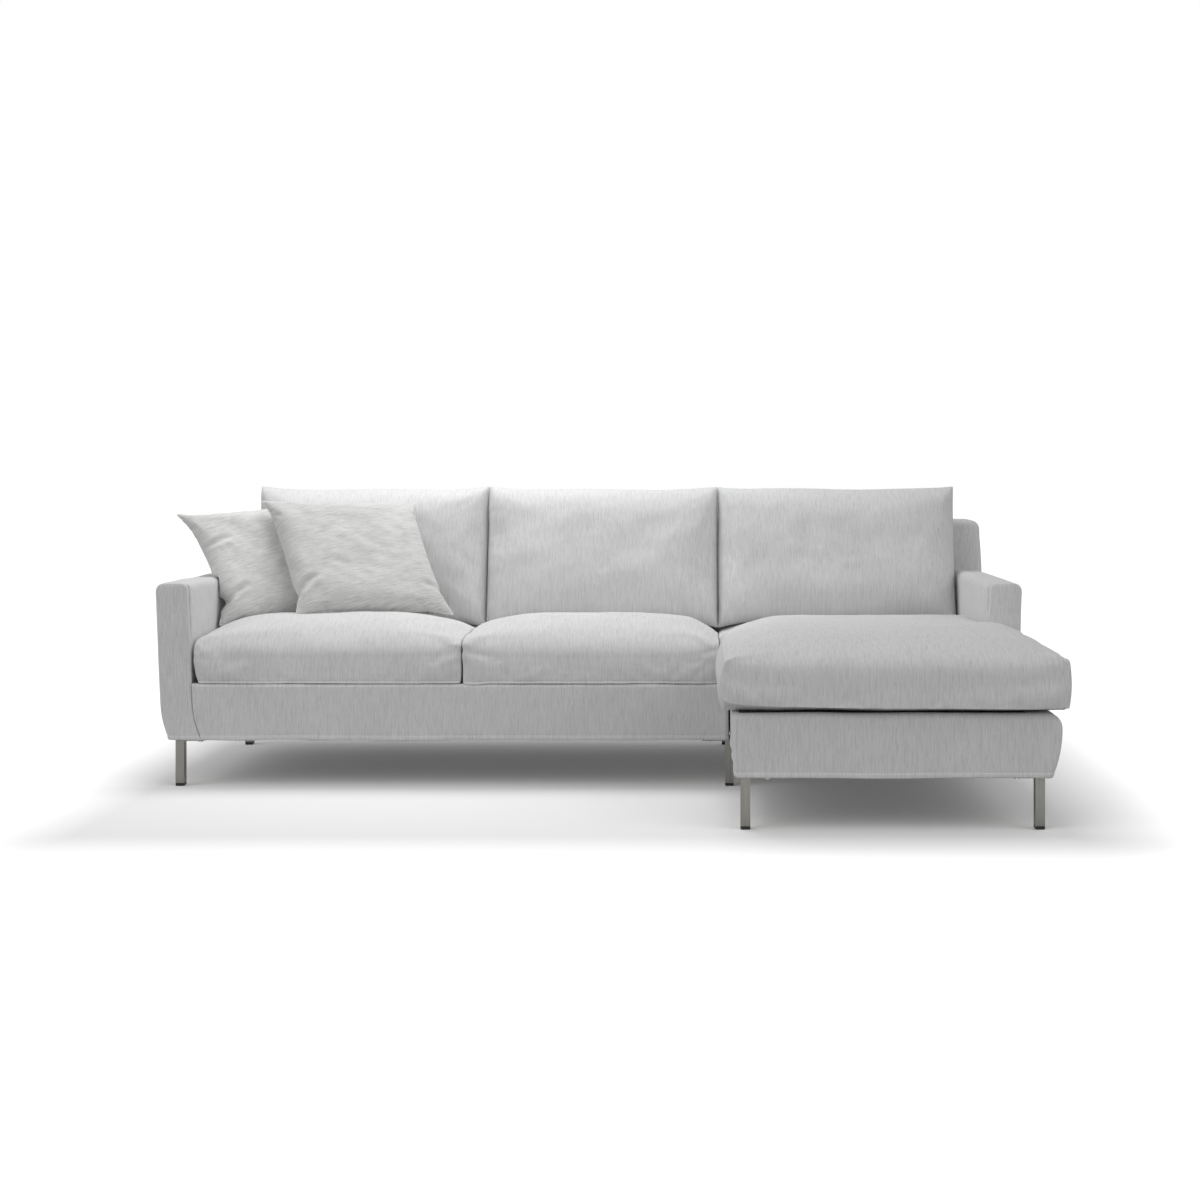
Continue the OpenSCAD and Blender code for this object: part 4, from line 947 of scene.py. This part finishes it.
# Throw pillows
PILLOW_ORIGIN = np.array([X0 + ARM_T, YF, DECK_TOP])
REAR_CORNERS = np.array([[14, 262, 146], [435, 440, 178], [257, 552, 518], [-152, 380, 481]], float)
FRONT_CORNERS = np.array([[267, 182, 179.8], [712, 362, 171.8], [562, 562, 509.8], [108, 400, 522.8]], float)
PIPING = 1.7
LINEN = (0.50, 0.497, 0.488), (0.735, 0.732, 0.722), (0.855, 0.852, 0.84)
PIPING_LINEN = matt("piping_linen", (0.66, 0.655, 0.64), (0.84, 0.835, 0.815), 500.0, 0.9, 0.4)


def unit(v):
    return v / np.linalg.norm(v)


def tube(name, loop, radius, material_, body, slot):
    """A round cord along a closed loop of points."""
    along = np.roll(loop, -1, 0) - np.roll(loop, 1, 0)
    along /= np.linalg.norm(along, axis=1, keepdims=True)
    centre = loop.mean(0)
    side = np.cross(along, loop - centre)
    side /= np.linalg.norm(side, axis=1, keepdims=True)
    outer = np.cross(side, along)
    sides = 8
    t = np.arange(sides) * 2 * math.pi / sides
    round_it = np.cos(t)[None, :, None] * side[:, None] + np.sin(t)[None, :, None] * outer[:, None]
    count = len(loop)
    quads = [[i * sides + j, i * sides + (j + 1) % sides, (i + 1) % count * sides + (j + 1) % sides,
              (i + 1) % count * sides + j] for i in range(count) for j in range(sides)]
    put(name, (loop[:, None] + radius * round_it).reshape(-1, 3), np.array(quads), material_, body, slot,
        levels=0)


def throw_pillow(which, corners, draw, creases, notch, seed, painted_light_gain):
    """A square pillow held by its four corners. draw is how far its left, right, lower and upper sides come
    in, creases are folds from one point of its front to another, and notch is a kink in its left side. The
    last argument scales the linen's colours: painted light above 1 and painted shade below 1."""
    name, body = "throw_pillow_" + which, "pillow_%s_body" % which
    c = corners + PILLOW_ORIGIN
    normal = unit(np.cross(c[1] - c[0], c[3] - c[0]))
    right, up = unit(c[1] - c[0] + c[2] - c[3]), unit(c[3] - c[0] + c[2] - c[1])
    us = np.linspace(-1, 1, 61)
    idx, quads, pts = inflate(us, us, PILLOW_HALF, PILLOW_HALF, seed, 3.5, 14)
    where = {tuple(k): i for i, k in enumerate(idx)}
    tips = [pts[where[i, j, 1]] for i, j in ((0, 0), (60, 0), (60, 60), (0, 60))]
    reach = np.abs(np.array(tips))[:, :2].mean(0)
    e = pts[:, :2] / reach
    mid = [1 + pts[where[i, j, 1]][m] / reach[m] * s
           for i, j, m, s in ((0, 30, 0, 1), (60, 30, 0, -1), (30, 0, 1, 1), (30, 60, 1, -1))]
    e0, e1 = e[:, 0].copy(), e[:, 1].copy()
    extra = [d - m for d, m in zip(draw, mid)]
    e[:, 0] *= 1 - np.where(e0 < 0, extra[0], extra[1]) * (1 - np.clip(e1, -1, 1) ** 2) * np.abs(e0)
    e[:, 1] *= 1 - np.where(e1 < 0, extra[2], extra[3]) * (1 - np.clip(e0, -1, 1) ** 2) * np.abs(e1)
    at, width, depth = notch
    e[:, 0] += depth * bell(e1 - at, width) * part(-e0) ** 3
    thick = pts[:, 2] * PILLOW_HALF_T / np.abs(pts[:, 2]).max()
    front = thick > 0
    mm = np.stack([e0 * PILLOW_HALF, e1 * PILLOW_HALF], 1)
    for (x0, y0), (x1, y1), wide, deep in creases:
        start, end = np.array([x0, y0]) * PILLOW_HALF, np.array([x1, y1]) * PILLOW_HALF
        way = end - start
        t = part(((mm - start) @ way) / (way @ way))
        away = np.linalg.norm(mm - start - t[:, None] * way, axis=1)
        fold = bell(away, wide) - 0.35 * bell(away - 2.2 * wide, wide)
        thick -= front * deep * fold * np.minimum(1, 4 * (1 - t)) * part(thick / 14)
    seam = PILLOW_HALF * (1 - np.maximum(np.abs(us[idx[:, 0]]), np.abs(us[idx[:, 1]])))
    solid = np.column_stack([mm, thick])
    fine = waves(solid, seed + 4, 130) * 1.1 + waves(solid, seed + 6, 50) * 0.35
    gathers = sum(pinch(mm[:, m] + PILLOW_HALF, PILLOW_HALF - s * mm[:, 1 - m], seed + 20 + 2 * m + (s > 0),
                        34, 30) for m in (0, 1) for s in (-1, 1))
    thick += np.sign(thick) * (fine + 1.9 * gathers) * part(seam / 12) * (idx[:, 2] != 1)

    def place(e, thick, clear=2, above=0):
        s, t = ((e[:, 0] + 1) / 2)[:, None], ((e[:, 1] + 1) / 2)[:, None]
        at = (1 - s) * (1 - t) * c[0] + s * (1 - t) * c[1] + s * t * c[2] + (1 - s) * t * c[3] \
            + thick[:, None] * normal
        # Below the arm's top it lies against the arm
        at[:, 0] = np.where(at[:, 2] < ARM_H + above, np.maximum(at[:, 0], X0 + ARM_T + clear), at[:, 0])
        return at

    # The linen's colours are scaled by the last argument: painted light where it is above 1, painted shade
    # where it is below 1.
    linen_with_painted_light = [tuple(painted_light_gain * np.array(tone)) for tone in LINEN]
    linen = woven(name + "_linen", *linen_with_painted_light, 0.6, 0.5, 0.28, 22.0, (tuple(right), tuple(up)), 0.8)
    local = np.column_stack([e, thick])
    put(name, place(e, thick), quads, linen, body, "pillow_linen", ["pillow_" + which])
    small, faces = core(idx, local, np.array([0.93, 0.93, 0.84]))
    put(name + "_insert", place(small[:, :2], small[:, 2], 10, 12), faces, FINISH["fibre_filling"], body,
        "fibre_filling", ["pillow_insert_" + which])
    order = [*((i, 0) for i in range(60)), *((60, j) for j in range(60)),
             *((i, 60) for i in range(60, 0, -1)), *((0, j) for j in range(60, 0, -1))]
    ring = local[[where[i, j, 1] for i, j in order]]
    tube(name + "_piping", place(ring[:, :2], ring[:, 2]), PIPING, PIPING_LINEN, body, "pillow_linen")


# Steel and plastic
STEEL_EDGE, GLIDE_EDGE = 0.0009, 0.0007


def bevelled(node, width, slot, body):
    """A copy of a hard CAD node with its edges broken, in place of the node."""
    src = frame["nodes"][node]
    bm = bmesh.new()
    bm.from_mesh(src.data)
    bmesh.ops.remove_doubles(bm, verts=bm.verts, dist=1e-5)
    bmesh.ops.dissolve_limit(bm, angle_limit=math.radians(1), verts=bm.verts, edges=bm.edges)
    mesh = bpy.data.meshes.new(node + "_finished")
    bm.to_mesh(mesh)
    bm.free()
    obj = link(node + "_finished", mesh, FINISH[slot], 0)
    mod = obj.modifiers.new("edges", "BEVEL")
    mod.width = width
    mod.segments = 3
    mod.limit_method = "ANGLE"
    mod.angle_limit = math.radians(40)
    mod.harden_normals = False
    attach(obj, body)
    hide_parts(node)


# The sofa
KINDS = {"rail": "timber", "board": "timber", "frame": "timber", "springs": "spring_steel",
         "clips": "spring_steel", "bolts": "fixing_steel", "pins": "fixing_steel", "glides": "glide_plastic",
         "leg": "leg_steel", "foam": "foam", "insert": "fibre_filling", "dust": "dust_cover_fabric"}
for name, obj in frame["nodes"].items():
    kind = next((KINDS[word] for word in KINDS if word in name), "upholstery_fabric")
    if not obj.material_slots:
        obj.data.materials.append(None)
    for s in obj.material_slots:
        s.material = FINISH[kind]

arm(1, "left", "sofa")
arm(-1, "right", "chaise")
back(1, XS - X0, "back_sofa", "sofa_back_cover")
back(-1, X1 - XC, "back_chaise", "chaise_back_cover")
base_panels()
deck("deck_sofa", X0 + ARM_T + 0.5, XS - PAD_T - 0.5, YF + PAD_T + 0.5, "sofa_deck_pad")
deck("deck_chaise", XC + PAD_T + 0.5, X1 - ARM_T - 0.5, YC + CHAISE_FRONT_T + 0.5, "chaise_deck_pad")
seat("left", -1120, -344, 51, (0, 1), [(-344, 92, 90, 3.0), (-344, 60, 60, 1.5), (-1120, 80, 70, 1.6)], 0)
seat("right", -342, 405, 52, (1, 1), [(-342, 96, 110, 3.2), (405, 100, 70, 4.5), (405, 60, 50, 2.5)], 5)
chaise_seat(53)
back_cushion("left", -717, 746, 61, (0, 1.3))
back_cushion("middle", 32, 746, 62, (1.3, 0.8))
back_cushion("right", 797, 762, 63, (9.8, 0))
# The last number makes the rear pillow's linen 8% lighter. This is painted light where the front pillow
# shades it.
throw_pillow("rear", REAR_CORNERS, (0.2, 0.1, 0.03, 0.08),
             [((-0.86, 0.30), (-0.45, 0.42), 9, 7), ((-0.90, -0.62), (-0.45, -0.42), 9, 8)],
             (-0.62, 0.10, 0.10), 71, 1.08)
# The last number makes the front pillow's linen 7% darker. This is painted shade.
throw_pillow("front", FRONT_CORNERS, (0.1, 0.1, 0.08, 0.06),
             [((-0.90, -0.62), (-0.62, -0.42), 9, 9), ((0.90, -0.66), (0.66, -0.56), 9, 6),
              ((0.86, 0.86), (0.80, 0.40), 10, 4)],
             (-0.62, 0.09, 0.04), 72, 0.93)
for module, legs in (("sofa", ("sofa_front", "sofa_rear", "joint_front", "joint_rear")),
                     ("chaise", ("chaise_front_left", "chaise_front_right", "chaise_rear"))):
    for leg in legs:
        bevelled("leg_" + leg, STEEL_EDGE, "leg_steel", module + "_module")
for module in ("sofa", "chaise"):
    bevelled(module + "_leg_glides", GLIDE_EDGE, "glide_plastic", module + "_module")


# Studio
def floor():
    mesh = bpy.data.meshes.new("floor")
    s = 60.0
    mesh.from_pydata([(-s, -s, 0), (s, -s, 0), (s, s, 0), (-s, s, 0)], [], [(0, 1, 2, 3)])
    mat, t, sockets = material("floor_paint")
    t.set(Roughness=0.95, Specular_IOR_Level=0.0, Emission_Color=(1, 1, 1, 1))
    seen = t.seen()
    t.link(t.mix(seen, (*grey(0.50), 1), (*grey(0.94), 1)), sockets["Base Color"])
    # The floor glows for the camera only. A faint glow everywhere is painted light that lightens the sofa's
    # shadow. The glow grows with distance from the sofa, painted light that makes up for the softbox's
    # falloff so the floor looks plain white.
    place = t.node("NewGeometry").outputs["Position"]
    x, y = t.node("SeparateXYZ", {0: place}).outputs[:2]
    from_middle = t.math("ABSOLUTE", t.minus(x, 0.03))
    aside, ahead, behind = (t.math("MAXIMUM", t.minus(a, b), 0)
                            for a, b in ((from_middle, 1.25), (-0.80, y), (y, 1.0)))
    far = t.add(t.math("POWER", t.times(aside, 1.4), 2),
                 t.math("POWER", t.times(ahead, 1.3), 2))
    far = t.math("SQRT", t.add(far, t.math("POWER", behind, 2)))
    glow = t.math("MINIMUM", far, 0.5)
    t.link(t.times(seen, t.add(glow, 0.10)), sockets["Emission Strength"])
    mesh.materials.append(mat)
    add_object("floor", mesh)


def lamp(name, kind, power, **settings):
    light = bpy.data.lights.new(name, kind)
    light.energy = power
    for k, v in settings.items():
        setattr(light, k, v)
    return add_object(name, light)


def sky_light(name, direction, spread, power):
    """A far, wide lamp that shines in a direction and lights the whole floor alike."""
    obj = lamp(name, "SUN", power, angle=math.radians(spread))
    obj.rotation_euler = Vector(direction).to_track_quat("-Z", "Y").to_euler()


def softbox(name, place, size, spread, power):
    """A wide lamp with a grid, which hangs over the seat and shines straight down."""
    lamp(name, "AREA", power, shape="RECTANGLE", size=size[0], size_y=size[1],
         spread=math.radians(spread)).location = place


def world(strength):
    """An even white surround, seen as pure white by the camera and in reflections."""
    w = bpy.data.worlds.new("studio")
    bpy.context.scene.world = w
    w.use_nodes = True
    t = Tree(w.node_tree)
    bg = w.node_tree.nodes["Background"]
    seen = t.seen()
    bg.inputs["Color"].default_value = (1, 1, 1, 1)
    t.link(t.add(t.times(seen, 1 - strength), strength), bg.inputs["Strength"])


floor()
world(0.37)
softbox("overhead", place=(-0.42, 0.45, 2.40), size=(1.75, 0.9), spread=110, power=10.0)
sky_light("from_left", direction=(1.15, 0.80, -0.9), spread=50, power=0.66)
sky_light("from_right", direction=(-1.05, 0.65, -0.8), spread=50, power=0.54)

bpy.context.scene.view_settings.view_transform = "Standard"
